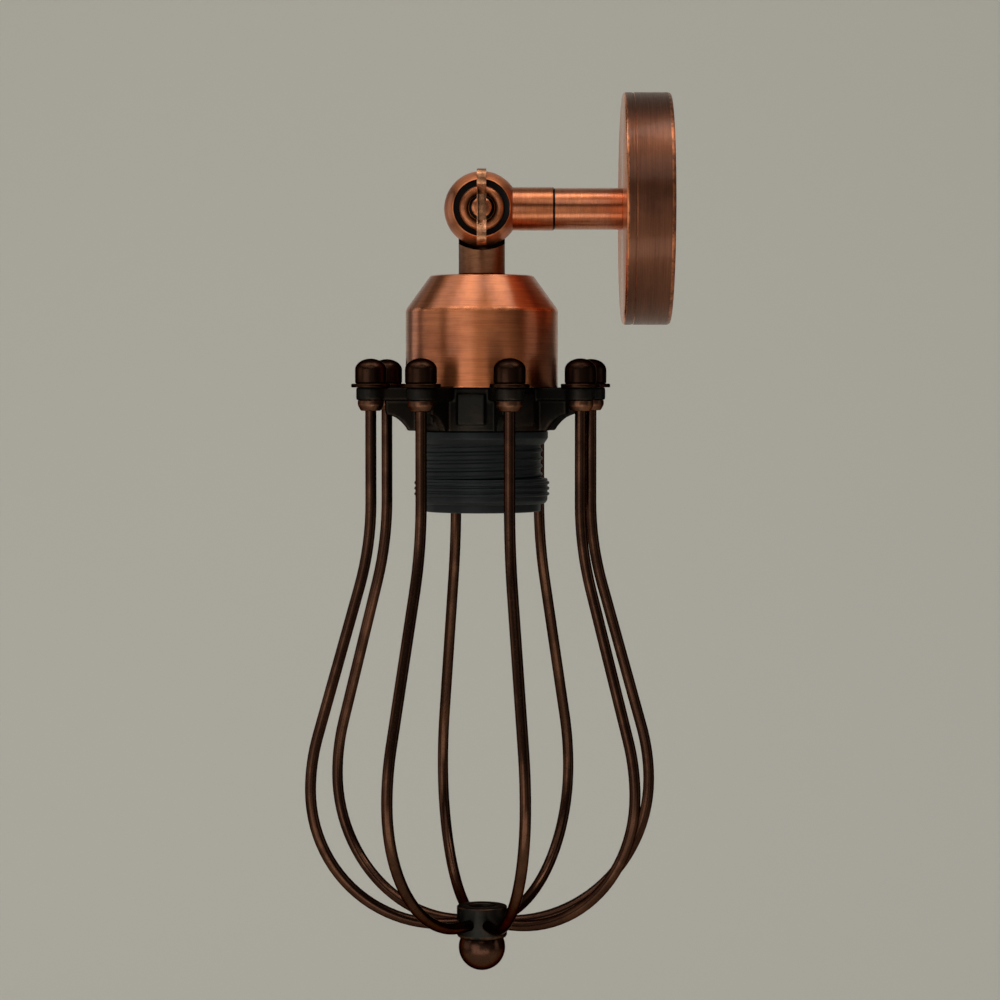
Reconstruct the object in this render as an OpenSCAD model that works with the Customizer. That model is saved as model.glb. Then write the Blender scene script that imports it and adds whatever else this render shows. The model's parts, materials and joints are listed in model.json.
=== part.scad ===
// Cage wall light.
//
// A round rose covers the wiring on a strap that is screwed to the wall. A short straight
// arm carries a ball knuckle of two halves, locked by a wing screw. Below the knuckle hang
// a spun cup, a threaded lamp holder and a guard cage of eight bent rods.
//
// Millimetres, +Z up. The wall is the plane x = 0, on the +X side, and the light reaches
// out along -X. The origin is the centre of the rose on the wall. The head's axis is the
// vertical line through the knuckle's pivot, and "depth" is a distance below that pivot.

/* [Wall rose] */
// Outer diameter of the rose
rose_d = 75; // [66:1:110]
// Depth of the rose from the wall
rose_depth = 15.5; // [14:0.5:25]
// Sheet thickness of the rose
rose_sheet = 1.2; // [0.8:0.1:1.6]
// Distance between the centres of the two wall screw slots
slot_spacing = 48; // [44:1:52]
// Width of a wall screw slot
slot_w = 4.6; // [4:0.1:5]
// Overall length of a wall screw slot
slot_l = 10; // [8:0.5:11]

/* [Arm and knuckle] */
// Distance of the knuckle's pivot from the wall
pivot_reach = 61; // [60:1:90]
// Outer diameter of the arm tube
arm_d = 13.5; // [13:0.5:16]
// Distance of the arm tube's outer end from the wall
arm_end = 37.7; // [34:0.1:40]
// Diameter of the knuckle's ball
ball_d = 24.4; // [23:0.2:28]
// Diameter of the knuckle's collar on the arm
collar_d = 14; // [13:0.5:16]
// Diameter of the knuckle's collar on the cup
stem_d = 15; // [13:0.5:17]
// Tip to tip height of the wing screw's wings
wing_span = 24.4; // [20:0.4:30]

/* [Cup and lamp holder] */
// Outer diameter of the cup
cup_d = 49.4; // [48.6:0.2:56]
// Diameter of the cup's flat top
cup_top_d = 33.4; // [28:0.2:40]
// Depth of the cup's flat top
cup_top = 21.6; // [21:0.1:26]
// Depth at which the cup's cone meets its straight wall
cup_shoulder = 32.7; // [30:0.1:38]
// Depth of the cup's open edge, which sits on the cage's spider
cup_edge = 57.8; // [56:0.1:60]
// Sheet thickness of the cup
cup_sheet = 1.2; // [0.8:0.1:1.4]
// Outer diameter of the threaded lamp holder
barrel_d = 39.5; // [39:0.1:40]
// Depth of the lamp holder's open end
barrel_end = 98; // [97:0.5:104]
// Inner diameter of the shell that takes the lamp's screw cap
shell_d = 26.6; // [26.4:0.1:27]

/* [Cage] */
// Diameter of a rod
rod_d = 3.35; // [3:0.05:4]
// Distance of the rods from the head's axis at the top
cage_top_r = 36.8; // [35:0.1:40]
// Distance of the rods from the head's axis at the widest place
cage_wide_r = 57; // [50:0.5:58]
// Depth of the widest place
cage_wide = 187.5; // [170:0.5:200]
// Lean of a rod's straight stretch from the vertical, in degrees
cage_lean = 16; // [12:0.5:18]
// Bend radius where a rod starts to lean out
bend_out_r = 100; // [60:5:120]
// Bend radius above the widest place
bend_wide_r = 64; // [40:2:80]
// Bend radius below the widest place
bend_under_r = 45; // [40:1:46]
// Angle of the first rod from the front of the cage, in degrees
rib_phase = 14; // [0:1:44]

/* [Hidden] */
$fn = 96;
copper = "#b4653a";
dark_copper = "#7a452c";
bronze = "#33231c";
black = "#1b1c1e";
steel = "#9a9c9e";
brass = "#b89a52";
ceramic = "#e6e1d6";

// Small allowances: a slip fit on a diameter, the cut that runs past a face, an edge break.
slip = 0.1;
over = 1;
edge_break = 0.4;

// M10 hollow nipples that join the rose, the arm, the knuckle, the cup and the holder.
nipple_d = 10;
nipple_bore = 6.4;
nipple_nut_w = 14;
nipple_nut_h = 3;
nipple_washer_d = 17;
nipple_washer_h = 0.8;

// Wall strap, bent at both ends into lugs that the rose's screws go into.
strap_t = 1.5;
strap_w = 14;
strap_half = rose_d / 2 - rose_sheet - 0.9;
strap_bend = 2.5;
lug_l = 9.5;
lug_hole = 6;
cable_hole_d = 9;
rose_screw_d = 3;
earth_screw_z = -12;
earth_screw_d = 3.4;

// Terminal block on the strap: three poles, two screws each.
pole_count = 3;
pole_pitch = 6.6;
pole_w = 6;
pole_l = 10;
pole_h = 5.6;
tower_d = 5;
tower_h = 8.6;
tower_offset = 2.7;
wire_hole_d = 2.8;
wire_hole_h = 3.3;
terminal_z = 12.4;
terminal_screw_d = 2.8;

// Knuckle. The halves meet on the plane y = 0 through the pivot, with a washer between.
arm_socket = 6.7;
half_gap = 0.3;
washer_slack = 0.05;
ball_flat = 7.9;
saddle_r = 13.6;
chamber_r = 9;
chamber_h = 2.6;
wire_bore = 6.4;
boss_r = 4.4;
lock_bore = 5.1;
lock_d = 4.8;
recess_d = 18.2;
recess_floor = 5.4;
pressure_d = 14.4;
pressure_t = 2.4;
pressure_crown = 1;
pressure_seat = 1.2;
lock_nut_w = 8;
lock_nut_y = 4.4;
nipple_socket = 6;

// Wing screw: a round boss with two flat wings on the axis y of the knuckle.
wing_boss_d = 8.2;
wing_boss_h = 4.4;
wing_mid_h = 6;
wing_clear = 1.5;
wing_t = 3;
wing_tip_r = 3.4;
wing_tip_y = 6;

// Lamp holder inside the cup.
neck_top = 28;
neck_d = 17;
neck_h = 5;
dome_d = 39.2;
dome_shoulder = 43;
holder_t = 1.6;
flange_d = 46.4;
flange_t = 3.5;
flange_top = cup_edge - flange_t;
spigot_r = 17.9;
spigot_end = 60;
insert_top = 60.2;
insert_end = 66;
inner_r = 15.4;
lip_r = 14.4;
lip_h = 3.5;
plug_r = 8.5;
plug_end = 69;
shell_t = 0.5;
shell_end = 93.5;
shell_eye_r = 8.8;
shell_foot_r = 11.5;
shell_step = 73.5;
contact_screw_r = 11;
contact_screw_d = 2.4;
contact_screw_end = 64;

// Thread on the outside of the holder, drawn as rings.
thread_pitch = 2.6;
thread_h = 0.65;
thread_top = 72;
thread_rings = 9;

// Sprung tongue that touches the lamp's end.
tongue_w = 5;
tongue_t = 0.6;
tongue_r = 5;
tongue_depth = 71.5;

// Shade rings that run on the holder's thread.
ring_fit = 0.1;
ring_gap = 0.2;
upper_ring_d = 43;
upper_ring_h = 4.2;
lower_ring_d = 43.9;
lower_ring_top = 87.3;
lower_ring_h = 8.1;
ridge_count = 3;
ridge_pitch = 1.8;

// The cage has one spider arm, cap nut and rod in each of these directions.
rib_count = 8;

// Spider: a collar on the holder with one arm, gusset and eye for each rod.
spider_d = 44.6;
spider_h = 14;
spider_bore = barrel_d + 0.6;
spider_arm_t = 4.1;
spider_arm_w = 6.4;
eye_d = 9.4;
gusset_t = 2.4;
gusset_r = 10;
gusset_end = 32;
gusset_drop = 8.4;
panel_w = 8.8;
panel_out = 0.6;
panel_drop = 2.2;

// Nuts on the rods. The cap nuts stand on the spider, the plain ones under it.
cap_d = 10.1;
cap_h = 8.1;
cap_dome_h = 3.6;
cap_flange_d = 12.6;
cap_flange_t = 1.2;
rod_top = 50.6;
under_nut_d = 8.4;
under_nut_h = 4.4;
rod_slip = 0.15;

// Hub and finial that hold the rods together at the bottom. The finial's flat end reaches
// finial_flat degrees up round its ball.
hub_d = 16.4;
hub_top = 227;
hub_end = 237.4;
hub_round = 1.2;
hub_hole_d = 8.6;
hub_floor = 232;
rod_seat = 5.6;
stud_d = 4;
hub_nut_w = 7;
hub_nut_h = 2.7;
finial_r = 7.6;
finial_centre = 240.6;
finial_flat = 14;

// Steps round the bends of a rod, and its sides.
lean_steps = 4;
under_steps = 15;
rod_sides = 12;

// Worked out from the values above.
rose_r = rose_d / 2;
ball_r = ball_d / 2;
barrel_r = barrel_d / 2;
spider_end = cup_edge + spider_h;
eye_end = cup_edge + spider_arm_t;
upper_ring_top = spider_end + ring_gap;
rod_bottom = cage_wide + bend_under_r;
lean_gain = 1 - cos(cage_lean);
lean_start_r = cage_top_r + bend_out_r * lean_gain;
lean_end_r = cage_wide_r - bend_wide_r * lean_gain;
lean_l = (lean_end_r - lean_start_r) / sin(cage_lean);
lean_end = cage_wide - bend_wide_r * sin(cage_lean);
lean_start = lean_end - lean_l * cos(cage_lean);
bend_start = lean_start - bend_out_r * sin(cage_lean);

// Points along an arc, from angle a to angle b.
function arc(centre, r, a, b, steps = 6) =
    [for (i = [0 : steps]) centre + r * [cos(a + (b - a) * i / steps), sin(a + (b - a) * i / steps)]];

// Places what is drawn along +Z from z = 0 so that it stands on the wall and points out.
module from_wall() {
    rotate([0, -90, 0])
        children();
}

// Moves to the knuckle's pivot.
module at_pivot() {
    translate([-pivot_reach, 0, 0])
        children();
}

// Cylinder along +Y between two values of y.
module cylinder_y(r, y0, y1) {
    translate([0, y0, 0])
        rotate([-90, 0, 0])
            cylinder(r = r, h = y1 - y0);
}

// Cylinder on the Z axis between two depths.
module cylinder_down(r, top, end) {
    translate([0, 0, -end])
        cylinder(r = r, h = end - top);
}

// Turned piece from a list of [radius, depth] points.
module turned(points) {
    rotate_extrude()
        polygon([for (p = points) [p[0], -p[1]]]);
}

// Hexagon of a given width across its flats.
module hexagon(width, h) {
    cylinder(d = width / cos(30), h = h, $fn = 6);
}

// Repeats for each rod, with +X along the rod's plane.
module each_rib() {
    at_pivot()
        for (i = [0 : rib_count - 1])
            rotate([0, 0, rib_angle(i)])
                children();
}

// Direction of rod i. Rod 0 is the one nearest to the front (-Y), turned towards +X.
function rib_angle(i) = -90 + rib_phase + i * 360 / rib_count;

// ---- Wall side ----

module strap_profile() {
    translate([-strap_t, -(strap_half - strap_bend)])
        square([strap_t, 2 * (strap_half - strap_bend)]);
    for (side = [0, 1])
        mirror([0, side]) {
            translate([-strap_bend, strap_half - strap_bend])
                intersection() {
                    difference() {
                        circle(r = strap_bend);
                        circle(r = strap_bend - strap_t);
                    }
                    square(strap_bend);
                }
            translate([-lug_l, strap_half - strap_t])
                square([lug_l - strap_bend, strap_t]);
        }
}

module wall_bracket() {
    color(steel)
        difference() {
            translate([0, strap_w / 2, 0])
                rotate([90, 0, 0])
                    linear_extrude(strap_w)
                        strap_profile();
            for (side = [-1, 1])
                translate([over, 0, side * slot_spacing / 2])
                    from_wall()
                        slot(slot_w, slot_l, strap_t + 2 * over);
            translate([over, 0, 0])
                from_wall()
                    cylinder(d = cable_hole_d, h = strap_t + 2 * over);
            translate([over, 0, earth_screw_z])
                from_wall()
                    cylinder(d = earth_screw_d, h = strap_t + 2 * over);
            for (side = [0, 1])
                mirror([0, 0, side])
                    translate([-lug_hole, 0, strap_half - strap_t - over])
                        cylinder(d = rose_screw_d, h = strap_t + 2 * over);
        }
}

// Slot along the local X axis.
module slot(w, l, h) {
    for (side = [-1, 1])
        translate([side * (l - w) / 2, 0, 0])
            cylinder(d = w, h = h);
    translate([-(l - w) / 2, -w / 2, 0])
        cube([l - w, w, h]);
}

module wall_rose() {
    front_round = 0.9;
    groove_at = rose_depth - 2.7;
    groove_w = 0.6;
    groove_depth = 0.35;
    inner_r = rose_r - rose_sheet;
    face = rose_depth - rose_sheet;
    outline = concat(
        [[nipple_d / 2 + slip, rose_depth]],
        arc([rose_r - front_round, rose_depth - front_round], front_round, 90, 0),
        [[rose_r, groove_at + groove_w / 2],
         [rose_r - groove_depth, groove_at + groove_w / 4],
         [rose_r - groove_depth, groove_at - groove_w / 4],
         [rose_r, groove_at - groove_w / 2]],
        arc([inner_r, rose_sheet], rose_sheet, 0, -90),
        [[inner_r, face - edge_break],
         [inner_r - edge_break, face],
         [nipple_d / 2 + slip, face]]);
    color(copper)
        difference() {
            from_wall()
                rotate_extrude($fn = 128)
                    polygon(outline);
            for (side = [0, 1])
                mirror([0, 0, side])
                    translate([-lug_hole, 0, inner_r - over])
                        cylinder(d = rose_screw_d + 2 * slip, h = rose_sheet + 2 * over);
        }
}

// Two flush screws, each with a screwdriver slot, at the top and bottom of the rose.
module rose_screws() {
    start = strap_half - strap_t - edge_break;
    screw_l = rose_r - 0.3 - start;
    slot_cut = 0.6;
    color(dark_copper)
        for (side = [0, 1])
            mirror([0, 0, side])
                translate([-lug_hole, 0, start])
                    difference() {
                        cylinder(d = rose_screw_d, h = screw_l);
                        translate([-rose_screw_d, -slot_cut / 2, screw_l - slot_cut])
                            cube([2 * rose_screw_d, slot_cut, over + slot_cut]);
                    }
}

module earth_screw() {
    head_d = 6.4;
    head_h = 2.4;
    slot_cut = 0.9;
    color(brass)
        translate([0, 0, earth_screw_z])
            from_wall()
                difference() {
                    union() {
                        cylinder(d = earth_screw_d, h = strap_t + head_h / 2);
                        translate([0, 0, strap_t])
                            cylinder(d = head_d, h = head_h);
                    }
                    translate([-head_d, -slot_cut / 2, strap_t + head_h - slot_cut])
                        cube([2 * head_d, slot_cut, slot_cut + over]);
                }
}

// Places the tops of the terminal screws' towers, with +Z away from the strap.
module each_tower() {
    for (pole = [0 : pole_count - 1], side = [-1, 1])
        translate([0, (pole - (pole_count - 1) / 2) * pole_pitch, terminal_z + side * tower_offset])
            from_wall()
                translate([0, 0, strap_t])
                    children();
}

module terminal_block() {
    web_h = 3.4;
    total_w = (pole_count - 1) * pole_pitch + pole_w;
    color("#d8d6cc")
        difference() {
            union() {
                translate([-strap_t - web_h, -total_w / 2, terminal_z - pole_l / 2 + over])
                    cube([web_h, total_w, pole_l - 2 * over]);
                for (pole = [0 : pole_count - 1])
                    translate([-strap_t - pole_h, (pole - (pole_count - 1) / 2) * pole_pitch - pole_w / 2,
                               terminal_z - pole_l / 2])
                        cube([pole_h, pole_w, pole_l]);
                each_tower()
                    cylinder(d = tower_d, h = tower_h);
            }
            for (pole = [0 : pole_count - 1])
                translate([-strap_t - wire_hole_h, (pole - (pole_count - 1) / 2) * pole_pitch,
                           terminal_z - pole_l / 2 - over])
                    cylinder(d = wire_hole_d, h = pole_l + 2 * over);
            each_tower()
                translate([0, 0, wire_hole_h])
                    cylinder(d = terminal_screw_d, h = tower_h);
        }
}

module terminal_screws() {
    screw_h = 2.6;
    sunk = 1;
    slot_cut = 0.6;
    color(steel)
        each_tower()
            translate([0, 0, tower_h - sunk - screw_h])
                difference() {
                    cylinder(d = terminal_screw_d, h = screw_h);
                    translate([-terminal_screw_d, -slot_cut / 2, screw_h - slot_cut])
                        cube([2 * terminal_screw_d, slot_cut, slot_cut + over]);
                }
}

// Hollow threaded tube along the local Z axis.
module nipple(l) {
    difference() {
        cylinder(d = nipple_d, h = l);
        translate([0, 0, -over])
            cylinder(d = nipple_bore, h = l + 2 * over);
    }
}

module nipple_washer() {
    difference() {
        cylinder(d = nipple_washer_d, h = nipple_washer_h);
        translate([0, 0, -over])
            cylinder(d = nipple_d + slip, h = nipple_washer_h + 2 * over);
    }
}

module nipple_nut() {
    difference() {
        hexagon(nipple_nut_w, nipple_nut_h);
        translate([0, 0, -over])
            cylinder(d = nipple_d, h = nipple_nut_h + 2 * over);
    }
}

module arm_nipple() {
    inside = 6.4;
    in_tube = 9;
    color(brass)
        from_wall()
            translate([0, 0, rose_depth - inside])
                nipple(inside + in_tube);
}

module arm_washer() {
    color(steel)
        from_wall()
            translate([0, 0, rose_depth - rose_sheet - nipple_washer_h])
                nipple_washer();
}

module arm_locknut() {
    color(brass)
        from_wall()
            translate([0, 0, rose_depth - rose_sheet - nipple_washer_h - nipple_nut_h])
                nipple_nut();
}

module arm_tube() {
    outer_r = arm_d / 2;
    bore_r = nipple_d / 2;
    color(dark_copper)
        from_wall()
            rotate_extrude()
                polygon([
                    [bore_r, rose_depth],
                    [outer_r - edge_break / 2, rose_depth],
                    [outer_r, rose_depth + edge_break / 2],
                    [outer_r, arm_end - edge_break],
                    [outer_r - edge_break, arm_end],
                    [bore_r, arm_end]
                ]);
}

// ---- Knuckle ----

// Half of the ball on the +Y side of the pivot, with its chamber for the wires.
module ball_half(chamber_end) {
    reach = ball_d;
    difference() {
        intersection() {
            sphere(r = ball_r);
            translate([-reach, half_gap, -reach])
                cube([2 * reach, ball_flat - half_gap, 2 * reach]);
        }
        difference() {
            cylinder_y(chamber_r, half_gap - over, chamber_end);
            cylinder_y(boss_r, half_gap - 2 * over, chamber_end + over);
        }
    }
}

// What a half's collar leaves free for the other half to swing in.
module saddle_cut() {
    cylinder_y(saddle_r, -half_gap, ball_d);
}

module knuckle_arm_half() {
    collar_l = pivot_reach - arm_end;
    color(copper)
        at_pivot()
            difference() {
                union() {
                    mirror([0, 1, 0])
                        ball_half(half_gap + chamber_h);
                    rotate([0, 90, 0]) {
                        difference() {
                            translate([0, 0, chamber_r])
                                cylinder(d = collar_d, h = collar_l - chamber_r - edge_break);
                            rotate([0, -90, 0])
                                saddle_cut();
                        }
                        translate([0, 0, collar_l - edge_break])
                            cylinder(d1 = collar_d, d2 = collar_d - 2 * edge_break, h = edge_break);
                        translate([0, 0, collar_l - edge_break])
                            cylinder(d = nipple_d, h = arm_socket + edge_break);
                    }
                }
                rotate([0, 90, 0])
                    translate([0, 0, chamber_r - over])
                        cylinder(d = wire_bore, h = collar_l + arm_socket);
                cylinder_y(lock_bore / 2, -ball_d, over);
                cylinder_y(recess_d / 2, -ball_d, -recess_floor);
            }
}

module friction_washer() {
    color("#2c2a26")
        at_pivot()
            difference() {
                cylinder_y(ball_r - 0.5, -half_gap, half_gap - washer_slack);
                cylinder_y(chamber_r, -over, over);
            }
}

module knuckle_head_half() {
    color(copper)
        at_pivot()
            difference() {
                union() {
                    ball_half(half_gap + chamber_h);
                    difference() {
                        cylinder_down(stem_d / 2, chamber_r, cup_top);
                        mirror([0, 1, 0])
                            saddle_cut();
                    }
                }
                cylinder_down(wire_bore / 2, chamber_r - over, cup_top + over);
                cylinder_down(nipple_d / 2, cup_top - nipple_socket, cup_top + over);
                cylinder_y(lock_bore / 2, -over, ball_d);
                translate([0, lock_nut_y, 0])
                    rotate([-90, 0, 0])
                        hexagon(lock_nut_w, ball_d);
            }
}

module knuckle_nut() {
    color(steel)
        at_pivot()
            difference() {
                translate([0, lock_nut_y, 0])
                    rotate([-90, 0, 0])
                        hexagon(lock_nut_w, ball_flat - lock_nut_y);
                cylinder_y(lock_d / 2 + slip / 2, 0, ball_d);
            }
}

// Dished washer: a rolled ring round the sunk seat of the screw's boss.
module pressure_washer() {
    outer_r = pressure_d / 2;
    seat_r = wing_boss_d / 2 + edge_break;
    ring_r = (outer_r + seat_r) / 2;
    roll = (outer_r - seat_r) / 2;
    crest = [for (a = [0 : 30 : 180]) [ring_r + roll * cos(a), pressure_t - pressure_crown * (1 - sin(a))]];
    color(dark_copper)
        at_pivot()
            translate([0, -recess_floor, 0])
                rotate([90, 0, 0])
                    rotate_extrude()
                        polygon(concat(
                            [[lock_bore / 2, 0], [outer_r, 0]],
                            crest,
                            [[seat_r, pressure_seat], [lock_bore / 2, pressure_seat]]));
}

// Outline of one wing: [distance from the screw's axis, distance out from the boss's foot].
module wing_outline() {
    tip = [wing_span / 2 - wing_tip_r, wing_tip_y];
    translate(tip)
        circle(r = wing_tip_r);
    polygon(concat(
        [[0, wing_clear], [wing_boss_d / 2, wing_clear]],
        [tip + wing_tip_r * [cos(-60), sin(-60)]],
        [tip + wing_tip_r * [cos(120), sin(120)]],
        [[wing_boss_d / 2, wing_mid_h - edge_break], [0, wing_mid_h]]));
}

module wing_screw() {
    foot = recess_floor + pressure_seat;
    tip_y = ball_flat + 0.6;
    color(dark_copper)
        at_pivot() {
            cylinder_y(lock_d / 2, -foot - over, tip_y);
            translate([0, -foot, 0])
                rotate([90, 0, 0]) {
                    cylinder(d = wing_boss_d, h = wing_boss_h - edge_break);
                    translate([0, 0, wing_boss_h - edge_break])
                        cylinder(d1 = wing_boss_d, d2 = wing_boss_d - 2 * edge_break, h = edge_break);
                }
            for (side = [0, 1])
                mirror([0, 0, side])
                    translate([-wing_t / 2, -foot, 0])
                        rotate([90, 0, 90])
                            linear_extrude(wing_t)
                                mirror([1, 0])
                                    rotate(90)
                                        mirror([0, 1])
                                            wing_outline();
        }
}

// ---- Cup and lamp holder ----

module head_nipple() {
    nipple_l = neck_top + 4.6 - (cup_top - nipple_socket);
    color(brass)
        at_pivot()
            translate([0, 0, -(cup_top - nipple_socket) - nipple_l])
                nipple(nipple_l);
}

module head_washer() {
    color(steel)
        at_pivot()
            translate([0, 0, -(cup_top + cup_sheet + nipple_washer_h)])
                nipple_washer();
}

module head_locknut() {
    color(brass)
        at_pivot()
            translate([0, 0, -(cup_top + cup_sheet + nipple_washer_h + nipple_nut_h)])
                nipple_nut();
}

module holder_cup() {
    outer_r = cup_d / 2;
    top_r = cup_top_d / 2;
    hole_r = nipple_d / 2 + slip;
    lean = atan((outer_r - top_r) / (cup_shoulder - cup_top));
    wall_shift = cup_sheet * tan((90 - lean) / 2);
    color(copper)
        at_pivot()
            turned([
                [hole_r, cup_top],
                [top_r - edge_break, cup_top],
                [top_r + edge_break / 2, cup_top + edge_break / 2],
                [outer_r - edge_break / 3, cup_shoulder - edge_break],
                [outer_r, cup_shoulder + edge_break],
                [outer_r, cup_edge - edge_break],
                [outer_r - edge_break, cup_edge],
                [outer_r - cup_sheet, cup_edge],
                [outer_r - cup_sheet, cup_shoulder + cup_sheet * tan(lean / 2)],
                [top_r - wall_shift, cup_top + cup_sheet],
                [hole_r, cup_top + cup_sheet]
            ]);
}

module holder_dome() {
    outer_r = dome_d / 2;
    neck_r = neck_d / 2;
    bore_r = nipple_d / 2;
    neck_end = neck_top + neck_h;
    round_r = 6;
    color(black)
        at_pivot()
            turned(concat(
                [[bore_r, neck_top],
                 [neck_r - edge_break, neck_top],
                 [neck_r, neck_top + edge_break],
                 [neck_r, neck_end]],
                [for (p = arc([outer_r - round_r, -(dome_shoulder + round_r / 2)], round_r, 60, 0)) [p[0], -p[1]]],
                [[outer_r, flange_top],
                 [spigot_r, flange_top],
                 [spigot_r, spigot_end],
                 [spigot_r - holder_t, spigot_end],
                 [spigot_r - holder_t, dome_shoulder + holder_t],
                 [neck_r - holder_t, neck_end + 2 * holder_t],
                 [bore_r, neck_end + holder_t]]));
}

module ceramic_insert() {
    slot_r = tongue_r - tongue_t / 3;
    slot_long = 2 * tongue_t;
    wire_hole_r = 1.6;
    color(ceramic)
        at_pivot()
            difference() {
                union() {
                    cylinder_down(spigot_r - slip, insert_top, insert_end);
                    cylinder_down(plug_r, insert_end, plug_end);
                }
                translate([slot_r, -tongue_w / 2 - slip, -plug_end - over])
                    cube([slot_long, tongue_w + 2 * slip, plug_end - insert_top + 2 * over]);
                for (side = [-1, 1]) {
                    translate([side * contact_screw_r, 0, 0])
                        cylinder_down(contact_screw_d / 2, insert_top - over, contact_screw_end);
                    translate([0, side * contact_screw_r, 0])
                        cylinder_down(wire_hole_r, insert_top - over, insert_end + over);
                }
            }
}

module contact_screws() {
    head_d = 4.6;
    head_h = 1.8;
    slot_cut = 0.6;
    color(brass)
        at_pivot()
            for (side = [-1, 1])
                translate([side * contact_screw_r, 0, 0])
                    difference() {
                        union() {
                            cylinder_down(contact_screw_d / 2, insert_top - over, contact_screw_end);
                            cylinder_down(head_d / 2, insert_top - head_h, insert_top);
                        }
                        translate([-head_d, -slot_cut / 2, -(insert_top - head_h) - slot_cut])
                            cube([2 * head_d, slot_cut, slot_cut + over]);
                    }
}

// Brass shell that takes the lamp's screw cap. Its narrow foot has an eye round the plug.
module screw_shell() {
    bore_r = shell_d / 2;
    outer_r = bore_r + shell_t;
    color(brass)
        at_pivot()
            turned([
                [shell_eye_r, insert_end],
                [shell_foot_r, insert_end],
                [shell_foot_r, shell_step - shell_t],
                [outer_r, shell_step - shell_t],
                [outer_r, shell_end],
                [bore_r, shell_end],
                [bore_r, shell_step],
                [shell_foot_r - shell_t, shell_step],
                [shell_foot_r - shell_t, insert_end + shell_t],
                [shell_eye_r, insert_end + shell_t]
            ]);
}

// Tongue that the lamp's end presses up, with a leg that slides in the insert's slot.
module centre_contact() {
    leg_top = insert_top + 2;
    color(brass)
        at_pivot() {
            translate([-tongue_r, -tongue_w / 2, -tongue_depth - tongue_t])
                cube([2 * tongue_r + tongue_t, tongue_w, tongue_t]);
            translate([tongue_r, -tongue_w / 2, -tongue_depth - tongue_t])
                cube([tongue_t, tongue_w, tongue_depth + tongue_t - leg_top]);
        }
}

// One ring of the holder's thread: root, flank, crest, flank.
function thread_ring(top) = [
    [barrel_r - thread_h, top],
    [barrel_r - thread_h, top + thread_pitch * 0.3],
    [barrel_r, top + thread_pitch * 0.5],
    [barrel_r, top + thread_pitch * 0.8]
];

module holder_skirt() {
    flange_r = flange_d / 2;
    color(black)
        at_pivot()
            turned(concat(
                [[spigot_r + slip, flange_top],
                 [flange_r, flange_top],
                 [flange_r, cup_edge],
                 [barrel_r, cup_edge],
                 [barrel_r, thread_top - thread_pitch * 0.2]],
                [for (i = [0 : thread_rings - 1]) each thread_ring(thread_top + i * thread_pitch)],
                [[barrel_r - thread_h, thread_top + thread_rings * thread_pitch],
                 [barrel_r - thread_h, barrel_end - edge_break],
                 [barrel_r - thread_h - edge_break, barrel_end],
                 [lip_r, barrel_end],
                 [lip_r, barrel_end - lip_h],
                 [inner_r, barrel_end - lip_h],
                 [inner_r, insert_end],
                 [spigot_r + slip, insert_end]]));
}

module upper_ring() {
    outer_r = upper_ring_d / 2;
    bore_r = barrel_r + ring_fit;
    end = upper_ring_top + upper_ring_h;
    chamfer_w = 1.4;
    chamfer_h = 2;
    color(black)
        at_pivot()
            turned([
                [bore_r, upper_ring_top],
                [outer_r, upper_ring_top],
                [outer_r, end - chamfer_h],
                [outer_r - chamfer_w, end],
                [bore_r, end]
            ]);
}

module lower_ring() {
    outer_r = lower_ring_d / 2;
    bore_r = barrel_r + ring_fit;
    end = lower_ring_top + lower_ring_h;
    ridge_in = 0.5;
    ridge_w = ridge_pitch / 2;
    chamfer = 1.1;
    color(black)
        at_pivot()
            turned(concat(
                [[bore_r, lower_ring_top],
                 [outer_r - ridge_in - edge_break, lower_ring_top],
                 [outer_r - ridge_in, lower_ring_top + edge_break]],
                [for (i = [0 : ridge_count - 1])
                    let (top = lower_ring_top + ridge_pitch * (i + 0.5))
                        each [[outer_r - ridge_in, top],
                              [outer_r, top + ridge_w * 0.3],
                              [outer_r, top + ridge_w],
                              [outer_r - ridge_in, top + ridge_w * 1.3]]],
                [[outer_r - ridge_in, end - chamfer],
                 [outer_r - ridge_in - chamfer * 0.7, end],
                 [bore_r, end]]));
}

// ---- Cage ----

// Web under a spider arm, in [distance from the axis, height].
module gusset_profile() {
    inner = barrel_r + 1;
    centre = [gusset_end + 1.5, -(cup_edge + gusset_drop + gusset_r)];
    difference() {
        translate([inner, -spider_end])
            square([gusset_end - inner, spider_end - cup_edge - over]);
        translate(centre)
            circle(r = gusset_r);
    }
}

module cage_spider() {
    outer_r = spider_d / 2;
    panel_step = 360 / rib_count;
    color(bronze)
        difference() {
            union() {
                at_pivot()
                    rotate([0, 0, rib_angle(0)])
                        cylinder_down(outer_r, cup_edge, spider_end);
                at_pivot()
                    for (i = [0 : rib_count - 1])
                        rotate([0, 0, rib_angle(i) + panel_step / 2])
                            translate([barrel_r, -panel_w / 2, -(spider_end - panel_drop)])
                                cube([outer_r + panel_out - barrel_r, panel_w, spider_h - 2 * panel_drop]);
                each_rib() {
                    translate([barrel_r, -spider_arm_w / 2, -eye_end])
                        cube([cage_top_r - barrel_r, spider_arm_w, spider_arm_t]);
                    translate([cage_top_r, 0, 0])
                        cylinder_down(eye_d / 2, cup_edge, eye_end);
                    translate([0, gusset_t / 2, 0])
                        rotate([90, 0, 0])
                            linear_extrude(gusset_t)
                                gusset_profile();
                }
            }
            at_pivot()
                rotate([0, 0, rib_angle(0)])
                    cylinder_down(spider_bore / 2, cup_edge - over, spider_end + over);
            each_rib()
                translate([cage_top_r, 0, 0])
                    cylinder_down(rod_d / 2 + rod_slip / 2, cup_edge - over, eye_end + over);
        }
}

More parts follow.
